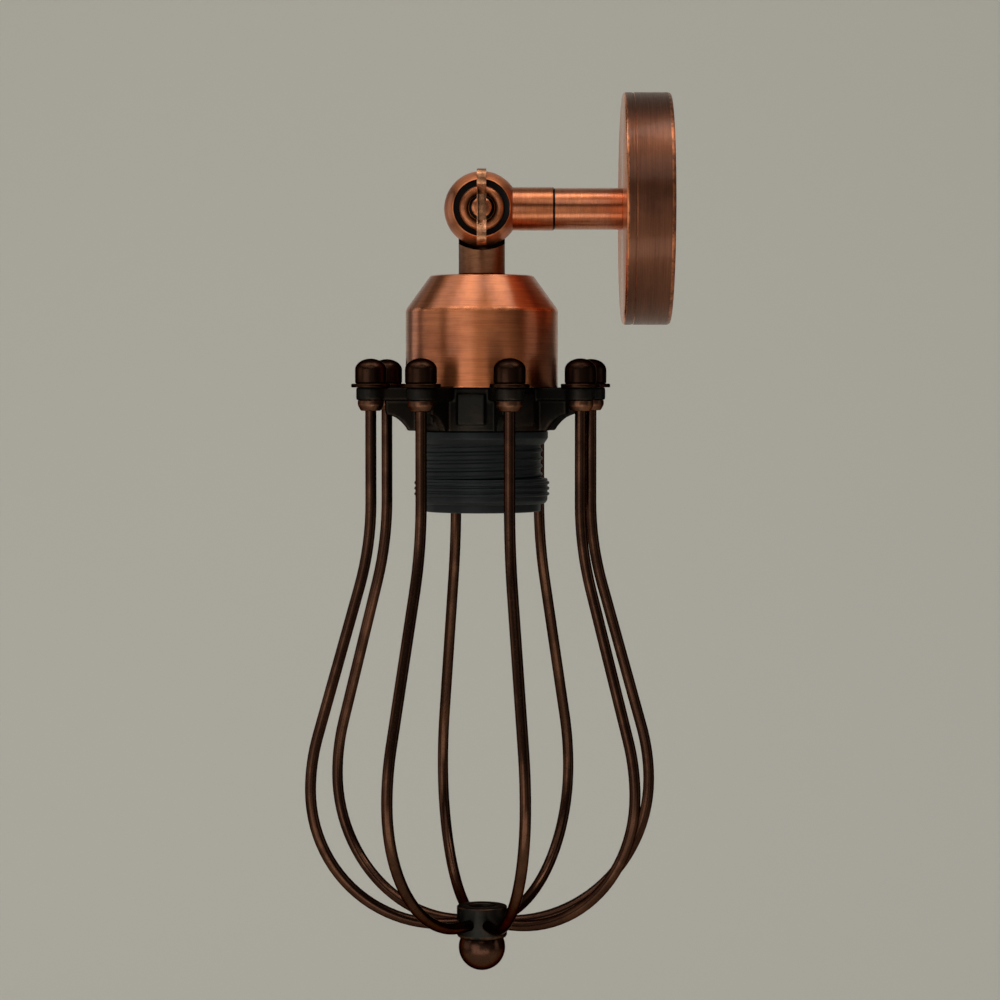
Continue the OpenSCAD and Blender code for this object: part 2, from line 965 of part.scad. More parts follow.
module cap_nuts() {
    cap_r = cap_d / 2;
    cap_foot = cup_edge - cap_flange_t;
    cap_top = cap_foot - cap_h;
    dome = [for (i = [0 : 6]) [cap_r * sin(i * 15), cap_top + cap_dome_h * (1 - cos(i * 15))]];
    color(bronze)
        each_rib()
            translate([cage_top_r, 0, 0])
                turned(concat(
                    dome,
                    [[cap_r, cap_foot - 2 * edge_break],
                     [cap_r - edge_break, cap_foot],
                     [cap_flange_d / 2 - edge_break, cap_foot],
                     [cap_flange_d / 2, cap_foot + edge_break],
                     [cap_flange_d / 2, cup_edge],
                     [rod_d / 2, cup_edge],
                     [rod_d / 2, rod_top - edge_break],
                     [0, rod_top - edge_break]]));
}

module under_nuts() {
    waist = 0.8;
    color(dark_copper)
        each_rib()
            translate([cage_top_r, 0, 0])
                turned([
                    [rod_d / 2, eye_end],
                    [under_nut_d / 2, eye_end],
                    [under_nut_d / 2, eye_end + under_nut_h / 2],
                    [under_nut_d / 2 - waist, eye_end + under_nut_h],
                    [rod_d / 2, eye_end + under_nut_h]
                ]);
}

// Stations down a rod: [distance from the axis, height, heading]. The heading is the angle
// from straight down, positive where the rod leans out.
function rod_stations() =
    let (wide_centre_r = cage_wide_r - bend_wide_r, under_centre_r = cage_wide_r - bend_under_r)
        concat(
            [[cage_top_r, -rod_top, 0]],
            [for (i = [0 : lean_steps])
                let (a = cage_lean * i / lean_steps)
                    [cage_top_r + bend_out_r * (1 - cos(a)), -bend_start - bend_out_r * sin(a), a]],
            [for (i = [lean_steps : -1 : 1])
                let (a = cage_lean * i / lean_steps)
                    [wide_centre_r + bend_wide_r * cos(a), -cage_wide + bend_wide_r * sin(a), a]],
            [for (i = [0 : under_steps])
                let (a = -90 * i / under_steps)
                    [under_centre_r + bend_under_r * cos(a), -cage_wide + bend_under_r * sin(a), a]],
            [[rod_seat, -rod_bottom, -90]]);

// Round of points about a station, square to its heading.
function rod_round(station) =
    [for (i = [0 : rod_sides - 1])
        let (t = i * 360 / rod_sides, out = rod_d / 2 * cos(t))
            [station[0] + out * cos(station[2]), rod_d / 2 * sin(t), station[1] + out * sin(station[2])]];

// One rod: straight down from its cap nut, leaning out, round its widest place and in.
module cage_rib(i) {
    stations = rod_stations();
    last = len(stations) - 1;
    points = [for (s = stations) each rod_round(s)];
    sides = [for (j = [0 : last - 1], k = [0 : rod_sides - 1])
        let (here = j * rod_sides, next = (k + 1) % rod_sides)
            each [[here + k, here + rod_sides + k, here + next],
                  [here + next, here + rod_sides + k, here + rod_sides + next]]];
    start_cap = [[for (k = [0 : rod_sides - 1]) k]];
    end_cap = [[for (k = [rod_sides - 1 : -1 : 0]) last * rod_sides + k]];
    color(bronze)
        at_pivot()
            rotate([0, 0, rib_angle(i)])
                polyhedron(points, concat(sides, start_cap, end_cap));
}

module cage_hub() {
    outer_r = hub_d / 2;
    hole_r = hub_hole_d / 2;
    color(bronze)
        difference() {
            at_pivot()
                turned(concat(
                    [[hole_r, hub_top],
                     [outer_r - edge_break, hub_top],
                     [outer_r, hub_top + edge_break]],
                    [for (p = arc([outer_r - hub_round, -(hub_end - hub_round)], hub_round, 0, -90)) [p[0], -p[1]]],
                    [[stud_d / 2 + slip, hub_end],
                     [stud_d / 2 + slip, hub_floor],
                     [hole_r, hub_floor]]));
            each_rib()
                translate([rod_seat, 0, -rod_bottom])
                    rotate([0, 90, 0])
                        cylinder(d = rod_d, h = hub_d);
        }
}

module hub_nut() {
    color(steel)
        at_pivot()
            translate([0, 0, -hub_floor])
                difference() {
                    hexagon(hub_nut_w, hub_nut_h);
                    translate([0, 0, -over])
                        cylinder(d = stud_d, h = hub_nut_h + 2 * over);
                }
}

// Ball end with the stud that draws the hub together.
module finial() {
    stud_top = hub_floor - hub_nut_h - 0.6;
    flat_angle = acos((finial_centre - hub_end) / finial_r);
    end_angle = 180 - finial_flat;
    ball = [for (a = [flat_angle : (end_angle - flat_angle) / 12 : end_angle + edge_break])
        [finial_r * sin(a), finial_centre - finial_r * cos(a)]];
    color(bronze)
        at_pivot()
            turned(concat(
                [[0, stud_top],
                 [stud_d / 2, stud_top],
                 [stud_d / 2, hub_end]],
                ball,
                [[0, finial_centre - finial_r * cos(end_angle)]]));
}

wall_bracket();
wall_rose();
rose_screws();
earth_screw();
terminal_block();
terminal_screws();
arm_nipple();
arm_washer();
arm_locknut();
arm_tube();
knuckle_arm_half();
friction_washer();
knuckle_head_half();
knuckle_nut();
pressure_washer();
wing_screw();
head_nipple();
head_washer();
head_locknut();
holder_cup();
holder_dome();
ceramic_insert();
contact_screws();
screw_shell();
centre_contact();
holder_skirt();
upper_ring();
lower_ring();
cage_spider();
cap_nuts();
under_nuts();
cage_rib(0);  // cage_rib_1
cage_rib(1);  // cage_rib_2
cage_rib(2);  // cage_rib_3
cage_rib(3);  // cage_rib_4
cage_rib(4);  // cage_rib_5
cage_rib(5);  // cage_rib_6
cage_rib(6);  // cage_rib_7
cage_rib(7);  // cage_rib_8
cage_hub();
hub_nut();
finial();
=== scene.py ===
import json
import math

import bmesh
import bpy
from bmesh.types import BMEdge, BMFace, BMVert
from bpy.props import FloatProperty, FloatVectorProperty, IntProperty, PointerProperty
from mathutils import Euler, Matrix, Vector

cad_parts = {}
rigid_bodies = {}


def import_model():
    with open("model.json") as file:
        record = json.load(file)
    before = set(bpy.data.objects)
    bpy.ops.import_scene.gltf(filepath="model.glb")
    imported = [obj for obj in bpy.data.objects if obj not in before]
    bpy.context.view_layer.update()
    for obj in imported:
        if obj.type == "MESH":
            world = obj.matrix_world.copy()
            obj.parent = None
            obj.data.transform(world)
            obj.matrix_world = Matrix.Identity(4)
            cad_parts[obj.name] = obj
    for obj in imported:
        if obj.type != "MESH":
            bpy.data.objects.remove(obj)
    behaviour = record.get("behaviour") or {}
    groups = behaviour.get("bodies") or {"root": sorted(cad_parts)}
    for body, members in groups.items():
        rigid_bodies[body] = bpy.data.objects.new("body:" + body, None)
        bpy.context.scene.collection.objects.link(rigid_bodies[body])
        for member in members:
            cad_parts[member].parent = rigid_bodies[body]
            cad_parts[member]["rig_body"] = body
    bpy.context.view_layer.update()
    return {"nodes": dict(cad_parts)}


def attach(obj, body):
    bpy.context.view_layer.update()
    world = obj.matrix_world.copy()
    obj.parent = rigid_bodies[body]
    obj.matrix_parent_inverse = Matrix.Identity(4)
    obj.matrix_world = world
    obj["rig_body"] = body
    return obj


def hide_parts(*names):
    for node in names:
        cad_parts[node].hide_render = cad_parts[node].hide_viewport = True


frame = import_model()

bl_info = {
    "name": "Cage Wall Light",
    "version": (1, 0, 0),
    "blender": (4, 5, 0),
    "location": "3D View > Sidebar > Wall Light",
    "description": "Builds a copper wall light with a cage of bent rods round its lamp holder",
    "category": "Object",
}

MM = 0.001
SHARP = math.radians(32)
RIBS = 8

# Width of the camera's sensor in millimetres.
SENSOR = 36

# Radius of the hollow in the knuckle, and depth at which the lamp's shell meets the insert.
CHAMBER = 9 * MM
INSERT_END = 66 * MM

# Places of the turned pieces: local Z is the piece's own axis. Heights on the wall side run
# out from the wall, and on the head they run down from the knuckle's pivot.
PIVOT = Vector((-0.061, 0, 0))
WALL_OUT = Matrix.Rotation(-math.pi / 2, 4, "Y")
HEAD_DOWN = Matrix.Translation(PIVOT) @ Matrix.Rotation(math.pi, 4, "X")
KNUCKLE_FRONT = Matrix.Translation(PIVOT) @ Matrix.Rotation(math.pi / 2, 4, "X")
KNUCKLE_BACK = Matrix.Translation(PIVOT) @ Matrix.Rotation(-math.pi / 2, 4, "X")


# ---- Sizes and colours -----------------------------------------------------------------

def length(name, description, default, low=0.0, high=1.0):
    return FloatProperty(
        name=name, description=description, default=default, min=low, max=high,
        precision=5, subtype="DISTANCE", unit="LENGTH",
    )


def colour(name, description, default):
    return FloatVectorProperty(
        name=name, description=description, default=default, size=3, min=0.0, max=1.0,
        subtype="COLOR",
    )


class RoseSizes(bpy.types.PropertyGroup):
    diameter: length("Diameter", "Outer diameter of the rose", 75 * MM)
    depth: length("Depth", "How far the rose stands out from the wall", 15.5 * MM)
    sheet: length("Sheet", "Thickness of the rose's sheet", 1.2 * MM)
    front_round: length("Front rounding", "Rounding of the rose's front edge", 0.9 * MM)
    back_round: length("Back rounding", "Rounding of the edge on the wall", 1.2 * MM)


class ArmSizes(bpy.types.PropertyGroup):
    diameter: length("Diameter", "Outer diameter of the arm tube", 13.5 * MM)
    reach: length("Reach", "Distance of the tube's outer end from the wall", 37.7 * MM)
    bore: length("Bore", "Inner diameter of the arm tube", 10 * MM)


class KnuckleSizes(bpy.types.PropertyGroup):
    ball: length("Ball", "Diameter of the knuckle's ball", 24.4 * MM)
    collar: length("Collar", "Diameter of the collar on the arm", 14 * MM)
    stem: length("Stem", "Diameter of the stem on the cup", 15 * MM)
    saddle: length("Saddle", "Radius that a collar leaves free round the other half", 13.6 * MM)
    flat: length("Flat", "Distance of the ball's flat from its middle", 7.9 * MM)
    recess: length("Recess", "Diameter of the recess for the pressure washer", 18.2 * MM)
    recess_floor: length(
        "Recess floor", "Distance of the recess's floor from the middle", 5.4 * MM)
    edge: length("Edge", "Width of the broken edges", 0.25 * MM)


class CupSizes(bpy.types.PropertyGroup):
    diameter: length("Diameter", "Outer diameter of the cup", 49.4 * MM)
    top_diameter: length("Top", "Diameter of the cup's flat top", 33.4 * MM)
    top: length("Top depth", "Depth of the flat top below the pivot", 21.6 * MM)
    shoulder: length("Shoulder depth", "Depth at which the cone meets the wall", 32.7 * MM)
    edge: length("Edge depth", "Depth of the cup's open edge", 57.8 * MM)
    sheet: length("Sheet", "Thickness of the cup's sheet", 1.2 * MM)


class HolderSizes(bpy.types.PropertyGroup):
    barrel: length("Barrel", "Outer diameter of the threaded barrel", 39.5 * MM)
    end: length("End depth", "Depth of the barrel's open end", 98 * MM)
    pitch: length("Pitch", "Pitch of the thread on the barrel", 2.6 * MM)
    thread_height: length("Thread height", "Height of the thread on the barrel", 0.65 * MM)
    shell: length("Shell", "Inner diameter of the lamp's threaded shell", 26.6 * MM)
    shell_pitch: length("Shell pitch", "Pitch of the lamp's thread", 3.63 * MM)


class CageSizes(bpy.types.PropertyGroup):
    rod: length("Rod", "Diameter of a rod", 3.6 * MM)
    top_radius: length("Top radius", "Distance of the rods from the axis at the top", 36.8 * MM)
    wide_radius: length("Wide radius", "Distance of the rods at the widest place", 56.8 * MM)
    wide_depth: length("Wide depth", "Depth of the widest place", 187.5 * MM)
    bend_out: length("Upper bend", "Bend radius where a rod leans out", 100 * MM)
    bend_wide: length("Wide bend", "Bend radius above the widest place", 64 * MM)
    bend_under: length("Lower bend", "Bend radius below the widest place", 45 * MM)
    lean: FloatProperty(
        name="Lean", description="Lean of a rod's straight stretch from the vertical",
        default=math.radians(16), min=0.1, max=0.5, subtype="ANGLE", unit="ROTATION",
    )
    phase: FloatProperty(
        name="Phase", description="Angle of the first rod from the front",
        default=math.radians(14), min=0.0, max=0.77, subtype="ANGLE", unit="ROTATION",
    )
    rod_sides: IntProperty(name="Rod sides", description="Faces round a rod", default=20, min=8)


class Finishes(bpy.types.PropertyGroup):
    copper: colour("Copper", "Brushed antique copper", (0.66, 0.215, 0.08))
    copper_shade: colour("Copper shade", "Darker copper in the brush lines", (0.32, 0.083, 0.026))
    patina: colour("Patina", "Brown patina on the rose", (0.27, 0.1, 0.05))
    aged: colour("Aged copper", "Copper darkened by handling", (0.37, 0.165, 0.08))
    bronze: colour("Bronze", "Dark oiled bronze of the rods", (0.055, 0.025, 0.015))
    casting: colour("Casting", "Blackened bronze of the spider", (0.021, 0.0195, 0.0165))
    rubbed: colour("Rubbed bronze", "Warm metal where the bronze is rubbed", (0.30, 0.135, 0.072))
    black: colour("Black", "Black moulded plastic", (0.0075, 0.0095, 0.0095))
    brass: colour("Brass", "Plain brass", (0.62, 0.42, 0.16))
    steel: colour("Steel", "Zinc plated steel", (0.52, 0.52, 0.50))
    ceramic: colour("Ceramic", "Glazed ceramic", (0.78, 0.74, 0.65))
    white: colour("White", "White moulded plastic", (0.72, 0.70, 0.62))
    fibre: colour("Fibre", "Grey fibre washer", (0.06, 0.05, 0.045))


class StageSettings(bpy.types.PropertyGroup):
    distance: length("Distance", "Distance of the camera from the light's axis", 1.0, 0.1, 5.0)
    eye_height: length("Eye height", "Height of the camera", -0.055, -1.0, 1.0)
    aim_x: length("Aim", "Place of the picture's middle along the arm", -0.0551, -1.0, 1.0)
    aim_z: length("Aim height", "Height of the picture's middle", -0.0944, -1.0, 1.0)
    picture_height: length("Picture height", "Height of the picture at the axis", 0.325, 0.1, 2.0)
    floor_height: length("Floor height", "Height of the floor", -0.46, -2.0, 0.0)
    backdrop: colour("Backdrop", "Pale floor and backdrop", (0.6, 0.58, 0.51))


# ---- Mesh tools ------------------------------------------------------------------------

def finished(name, bm):
    """Makes an object of a bmesh, with its sharp edges marked."""
    bmesh.ops.remove_doubles(bm, verts=bm.verts, dist=1e-6)
    bmesh.ops.recalc_face_normals(bm, faces=bm.faces)
    mesh = bpy.data.meshes.new(name)
    bm.to_mesh(mesh)
    bm.free()
    mesh.polygons.foreach_set("use_smooth", [True] * len(mesh.polygons))
    mesh.set_sharp_from_angle(angle=SHARP)
    piece = bpy.data.objects.new(name, mesh)
    bpy.context.scene.collection.objects.link(piece)
    return piece


def only(kind, made):
    """The elements of one kind among those that a bmesh operator made."""
    return [element for element in made if isinstance(element, kind)]


def extruded(bm, faces, vector):
    """Extrudes faces along a vector, and gives the faces at its end."""
    made = bmesh.ops.extrude_face_region(bm, geom=faces)["geom"]
    bmesh.ops.translate(bm, verts=only(BMVert, made), vec=vector)
    return only(BMFace, made)


def wear_and_shade_layer(bm):
    """Face layer that is 1 on outer edges, where a finish wears, and -1 on inner edges and other
    faces that get painted shade.
    """
    return bm.faces.layers.float.get("edge_wear_and_shade") or bm.faces.layers.float.new("edge_wear_and_shade")


def rounded_corners(bm, outline):
    """Closed outline of (radius, height, rounding) points in the XZ plane, without its face."""
    corners = [bm.verts.new((r, 0, h)) for r, h, _ in outline]
    face = bm.faces.new(corners)
    for rounding in sorted({p[2] for p in outline} - {0}):
        same = [v for v, p in zip(corners, outline) if p[2] == rounding]
        bmesh.ops.bevel(
            bm, geom=same, offset=rounding, offset_type="OFFSET", segments=4, profile=0.5,
            affect="VERTICES", material=-1,
        )
    bmesh.ops.delete(bm, geom=bm.faces[:], context="FACES_ONLY")


def outer_corner(outline, i):
    """True where the outline's corner i stands out of the piece."""
    a, b, c = (Vector(outline[j % len(outline)][:2]) for j in (i - 1, i, i + 1))
    area = sum(
        p[0] * q[1] - q[0] * p[1] for p, q in zip(outline, outline[1:] + outline[:1])
    )
    return (b - a).cross(c - b) * area > 0


def turned(place, outline, steps=128):
    """Bmesh of a closed outline of (radius, height, rounding) points turned about local Z."""
    bm = bmesh.new()
    rounded_corners(bm, outline)
    bmesh.ops.spin(
        bm, geom=bm.verts[:] + bm.edges[:], cent=(0, 0, 0), axis=(0, 0, 1),
        angle=2 * math.pi, steps=steps, use_merge=True,
    )
    bmesh.ops.remove_doubles(bm, verts=bm.verts, dist=1e-6)
    bmesh.ops.recalc_face_normals(bm, faces=bm.faces)
    wear = wear_and_shade_layer(bm)
    # Faces on rounded outer corners are marked as worn, and faces on rounded inner corners get
    # painted shade.
    rounds = [
        (Vector(p[:2]), p[2], 1.0 if outer_corner(outline, i) else -1.0)
        for i, p in enumerate(outline) if p[2]
    ]
    for face in bm.faces:
        middle = face.calc_center_median()
        flat = Vector((math.hypot(middle.x, middle.y), middle.z))
        for corner, rounding, side in rounds:
            if (flat - corner).length < rounding:
                face[wear] = side
    bm.transform(place)
    return bm


def painted_shade_band(bm, place, radius, low, high):
    """Marks the faces near local Z between two heights for painted shade, such as a painted
    shadow line at a seam.
    """
    wear, local = wear_and_shade_layer(bm), place.inverted()
    for face in bm.faces:
        middle = local @ face.calc_center_median()
        if math.hypot(middle.x, middle.y) < radius and low < middle.z < high:
            face[wear] = -1.0
    return bm


def joined(bms):
    """One bmesh of several."""
    whole = bmesh.new()
    wear_and_shade_layer(whole)
    for bm in bms:
        part = bpy.data.meshes.new("part")
        bm.to_mesh(part)
        bm.free()
        whole.from_mesh(part)
        bpy.data.meshes.remove(part)
    return whole


def broken_edges(bm, width, segments=2):
    """Bevels the sharp edges of a bmesh, marks the new faces on outer edges as worn, and gives
    those on inner edges painted shade.
    """
    wear = wear_and_shade_layer(bm)
    bm.normal_update()
    sharp = [e for e in bm.edges if e.is_manifold and e.calc_face_angle(0) > SHARP]
    for outside in (True, False):
        edges = [e for e in sharp if e.is_valid and e.is_convex == outside]
        made = bmesh.ops.bevel(
            bm, geom=edges, offset=width, offset_type="OFFSET", segments=segments,
            profile=0.5, affect="EDGES", clamp_overlap=True, material=-1,
        )
        for face in made["faces"]:
            face[wear] = 1.0 if outside else -1.0
    return bm


def applied(piece):
    """Bmesh of an object with its modifiers applied. The object is removed."""
    depsgraph = bpy.context.evaluated_depsgraph_get()
    bm = bmesh.new()
    bm.from_mesh(piece.evaluated_get(depsgraph).to_mesh())
    piece.evaluated_get(depsgraph).to_mesh_clear()
    bpy.data.objects.remove(piece)
    return bm


def cut(bm, tool):
    """Bmesh with the solid of another bmesh taken out of it."""
    piece, cutter = finished("being_cut", bm), finished("cutter", tool)
    modifier = piece.modifiers.new("Cut", "BOOLEAN")
    modifier.operation = "DIFFERENCE"
    modifier.solver = "EXACT"
    modifier.object = cutter
    result = applied(piece)
    bpy.data.objects.remove(cutter)
    return result


def tidy_copy(node):
    """Merged copy of a CAD node, with its flat faces joined up."""
    bm = bmesh.new()
    bm.from_mesh(frame["nodes"][node].data)
    bmesh.ops.remove_doubles(bm, verts=bm.verts, dist=2e-6)
    bmesh.ops.dissolve_limit(
        bm, angle_limit=math.radians(0.4), use_dissolve_boundaries=False,
        verts=bm.verts, edges=bm.edges, delimit={"NORMAL"},
    )
    return bm


def cylinder(radius, height, segments=64):
    """Closed cylinder that stands on the origin."""
    bm = bmesh.new()
    bmesh.ops.create_cone(
        bm, cap_ends=True, segments=segments, radius1=radius, radius2=radius, depth=height,
        matrix=Matrix.Translation((0, 0, height / 2)),
    )
    return bm


def block(low, high):
    """Box between two corners."""
    low, high = Vector(low), Vector(high)
    bm = bmesh.new()
    bmesh.ops.create_cube(
        bm, size=1, matrix=Matrix.Translation((low + high) / 2) @ Matrix.Diagonal(
            (*(high - low), 1)),
    )
    return bm


def thread(root, height, pitch, start, end, steps=64):
    """Helical ridge about local Z, from height start to end, sunk a little into its core."""
    bm = bmesh.new()
    sunk = root - height * 0.3
    section = [
        (sunk, -0.38), (root, -0.30), (root + height, -0.08),
        (root + height, 0.08), (root, 0.30), (sunk, 0.38),
    ]
    corners = [bm.verts.new((r, 0, start + (h + 0.4) * pitch)) for r, h in section]
    face = bm.faces.new(corners)
    turns = (end - start) / pitch - 0.8
    total = round(turns * steps)
    bmesh.ops.spin(
        bm, geom=[face] + face.verts[:] + face.edges[:], cent=(0, 0, 0), axis=(0, 0, 1),
        dvec=(0, 0, pitch / steps), angle=2 * math.pi * total / steps, steps=total,
    )
    bmesh.ops.recalc_face_normals(bm, faces=bm.faces)
    return bm


def rib_angle(cage, i):
    """Heading of rod i, from the X axis."""
    return -math.pi / 2 + cage.phase + i * 2 * math.pi / RIBS


def round_the_cage(bms, spoke):
    """Adds a copy of one bmesh for each rod's direction."""
    cage = bpy.context.scene.light_cage
    part = bpy.data.meshes.new("part")
    spoke.to_mesh(part)
    spoke.free()
    for i in range(RIBS):
        bm = bmesh.new()
        bm.from_mesh(part)
        bm.transform(Matrix.Translation(PIVOT) @ Matrix.Rotation(rib_angle(cage, i), 4, "Z"))
        bms.append(bm)
    bpy.data.meshes.remove(part)
    return bms


def install(piece, finishes, slot, *nodes):
    """Gives a piece its finishes, and lets it stand for CAD nodes and ride on their body."""
    for name in finishes.split():
        piece.data.materials.append(finish(name))
    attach(piece, frame["nodes"][nodes[0]]["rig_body"])
    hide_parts(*nodes)
    return piece


# ---- Materials -------------------------------------------------------------------------

class Wiring:
    """Adds nodes to a material's or a group's tree and links them."""

    def __init__(self, tree):
        self.tree = tree

    def add(self, kind, inputs=None, **settings):
        made = self.tree.nodes.new(kind)
        for key, value in settings.items():
            setattr(made, key, value)
        for key, value in (inputs or {}).items():
            if isinstance(value, bpy.types.NodeSocket):
                self.tree.links.new(value, made.inputs[key])
            else:
                made.inputs[key].default_value = value
        return made

    def maths(self, operation, a, b=0.0, c=0.0, clamp=False):
        return self.add(
            "ShaderNodeMath", {0: a, 1: b, 2: c}, operation=operation, use_clamp=clamp
        ).outputs[0]

    def times(self, a, b):
        return self.maths("MULTIPLY", a, b)

    def plus(self, a, share, base, clamp=False):
        """A share of one value added to another."""
        return self.maths("MULTIPLY_ADD", a, share, base, clamp)

    def noise(self, point, scale, detail, rough=0.5, **inputs):
        return self.add(
            "ShaderNodeTexNoise",
            {"Vector": point, "Scale": scale, "Detail": detail, "Roughness": rough, **inputs},
        ).outputs["Fac"]

    def mixed(self, factor, a, b):
        made = self.add("ShaderNodeMix", data_type="RGBA")
        for index, value in ((0, factor), (6, a), (7, b)):
            if isinstance(value, bpy.types.NodeSocket):
                self.tree.links.new(value, made.inputs[index])
            elif index:
                made.inputs[index].default_value = (*value[:3], 1)
            else:
                made.inputs[index].default_value = value
        return made.outputs[2]

    def spread(self, value, low, high, to_low=0.0, to_high=1.0):
        return self.add(
            "ShaderNodeMapRange",
            {"Value": value, "From Min": low, "From Max": high, "To Min": to_low,
             "To Max": to_high},
            interpolation_type="SMOOTHSTEP",
        ).outputs[0]


def fill_turned_grain(w, source):
    """Fine lines that run round local Z, from a brush held against a turning piece."""
    xyz = w.add("ShaderNodeSeparateXYZ", {0: source["Vector"]}).outputs
    flat = w.add("ShaderNodeCombineXYZ", {0: xyz[0], 1: xyz[1]}).outputs[0]
    radius = w.add("ShaderNodeVectorMath", {0: flat}, operation="LENGTH").outputs["Value"]
    heading = w.add("ShaderNodeVectorMath", {0: flat}, operation="NORMALIZE").outputs[0]
    heading = w.add("ShaderNodeSeparateXYZ", {0: heading}).outputs
    results = []
    for share, turn, detail in ((1.0, 2.6, 2.0), (0.11, 1.3, 3.0)):
        lines = w.times(source["Lines"], share)
        point = w.add(
            "ShaderNodeCombineXYZ",
            {0: w.times(heading[0], turn),
             1: w.times(heading[1], turn),
             2: w.times(xyz[2], lines)},
        ).outputs[0]
        noise = w.add(
            "ShaderNodeTexNoise",
            {"Vector": point, "W": w.times(radius, lines), "Scale": 1.0,
             "Detail": detail, "Roughness": 0.62},
            noise_dimensions="4D",
        )
        results.append(noise.outputs["Fac"])
    return results


def fill_tarnish(w, source):
    """Soft clouds where a finish is darker, and fine specks in it."""
    clouds = w.noise(source["Vector"], source["Scale"], 5.0, 0.6, Distortion=0.4)
    specks = w.noise(source["Vector"], w.times(source["Scale"], 22.0), 2.0)
    return [w.spread(clouds, 0.42, 0.68), w.spread(specks, 0.56, 0.72)]


def fill_edge_wear_and_shade(w, source):
    """Where outer edges are rubbed bright, and where painted shade falls on inner edges and other
    marked faces.
    """
    edge = w.add("ShaderNodeAttribute", attribute_name="edge_wear_and_shade").outputs["Fac"]
    patches = w.noise(source["Vector"], source["Scale"], 4.0, 0.7)
    broken = w.spread(patches, 0.34, 0.62)
    return [
        w.times(w.maths("MAXIMUM", edge, 0.0), broken),
        w.maths("MAXIMUM", w.times(edge, -1.0), 0.0),
    ]


def fill_cast_skin(w, source):
    """Faint dimples and grit of a cast or moulded face."""
    grit = w.noise(source["Vector"], source["Scale"], 4.0, 0.65)
    dimples = w.add(
        "ShaderNodeTexVoronoi",
        {"Vector": source["Vector"], "Scale": w.times(source["Scale"], 0.35)},
        feature="SMOOTH_F1",
    ).outputs["Distance"]
    return [w.plus(dimples, 0.5, w.times(grit, 0.6))]


# Each node group's filler, its own setting with a default, and its outputs.
GROUPS = {
    "Turned grain": (fill_turned_grain, "Lines", 5000.0, ["Grain", "Bands"]),
    "Tarnish": (fill_tarnish, "Scale", 60.0, ["Clouds", "Specks"]),
    "Edge wear and shade": (fill_edge_wear_and_shade, "Scale", 300.0, ["Worn", "Painted shade"]),
    "Cast skin": (fill_cast_skin, "Scale", 900.0, ["Height"]),
}


def group(name):
    """Node group of that name, made once."""
    tree = bpy.data.node_groups.get(name)
    if tree:
        return tree
    fill, setting, default, outputs = GROUPS[name]
    tree = bpy.data.node_groups.new(name, "ShaderNodeTree")
    new_socket = tree.interface.new_socket
    new_socket("Vector", in_out="INPUT", socket_type="NodeSocketVector")
    made = new_socket(setting, in_out="INPUT", socket_type="NodeSocketFloat")
    made.default_value = default
    for socket in outputs:
        new_socket(socket, in_out="OUTPUT", socket_type="NodeSocketFloat")
    w = Wiring(tree)
    results = fill(w, w.add("NodeGroupInput").outputs)
    w.add("NodeGroupOutput", dict(zip(outputs, results)))
    return tree


def new_material(name, place=None, **sockets):
    """Material with its wiring, its shader, and Object coordinates with the axis on Z."""
    material = bpy.data.materials.new(name)
    material.use_nodes = True
    tree = material.node_tree
    shader = tree.nodes["Principled BSDF"]
    for socket, value in sockets.items():
        shader.inputs[socket.replace("_", " ")].default_value = value
    w = Wiring(tree)
    point = w.add("ShaderNodeTexCoord").outputs["Object"]
    if place is not None:
        location, rotation, _ = place.decompose()
        point = w.add(
            "ShaderNodeMapping",
            {"Vector": point, "Location": location, "Rotation": rotation.to_euler()},
            vector_type="TEXTURE",
        ).outputs[0]
    return material, w, shader, point


def use_group(w, name, point, setting):
    """Outputs of a node group at a point, with its own setting filled in."""
    made = w.add("ShaderNodeGroup", node_tree=group(name))
    w.tree.links.new(point, made.inputs[0])
    made.inputs[1].default_value = setting
    return made.outputs


def surface(w, shader, body, sheen, height, depth):
    """Links a finish's colour, roughness and fine relief to its shader."""
    bump = w.add("ShaderNodeBump", {"Height": height, "Distance": depth})
    w.tree.links.new(body, shader.inputs["Base Color"])
    w.tree.links.new(sheen, shader.inputs["Roughness"])
    w.tree.links.new(bump.outputs[0], shader.inputs["Normal"])


def toned(tone, share):
    """Lighter or darker shade of a colour."""
    return [min(1.0, value * share) for value in tone]


def brush_direction(w, shader, point, place):
    """Turns the gloss round local Z, as the fine brush lines spread it."""
    xyz = w.add("ShaderNodeSeparateXYZ", {0: point}).outputs
    round_z = w.add(
        "ShaderNodeCombineXYZ", {0: w.times(xyz[1], -1.0), 1: xyz[0]}
    ).outputs[0]
    turned_back = w.add(
        "ShaderNodeMapping", {"Vector": round_z, "Rotation": place.to_euler()},
        vector_type="VECTOR",
    ).outputs[0]
    posed = w.add(
        "ShaderNodeVectorTransform", {0: turned_back}, vector_type="VECTOR",
        convert_from="OBJECT", convert_to="WORLD",
    ).outputs[0]
    w.tree.links.new(posed, shader.inputs["Tangent"])


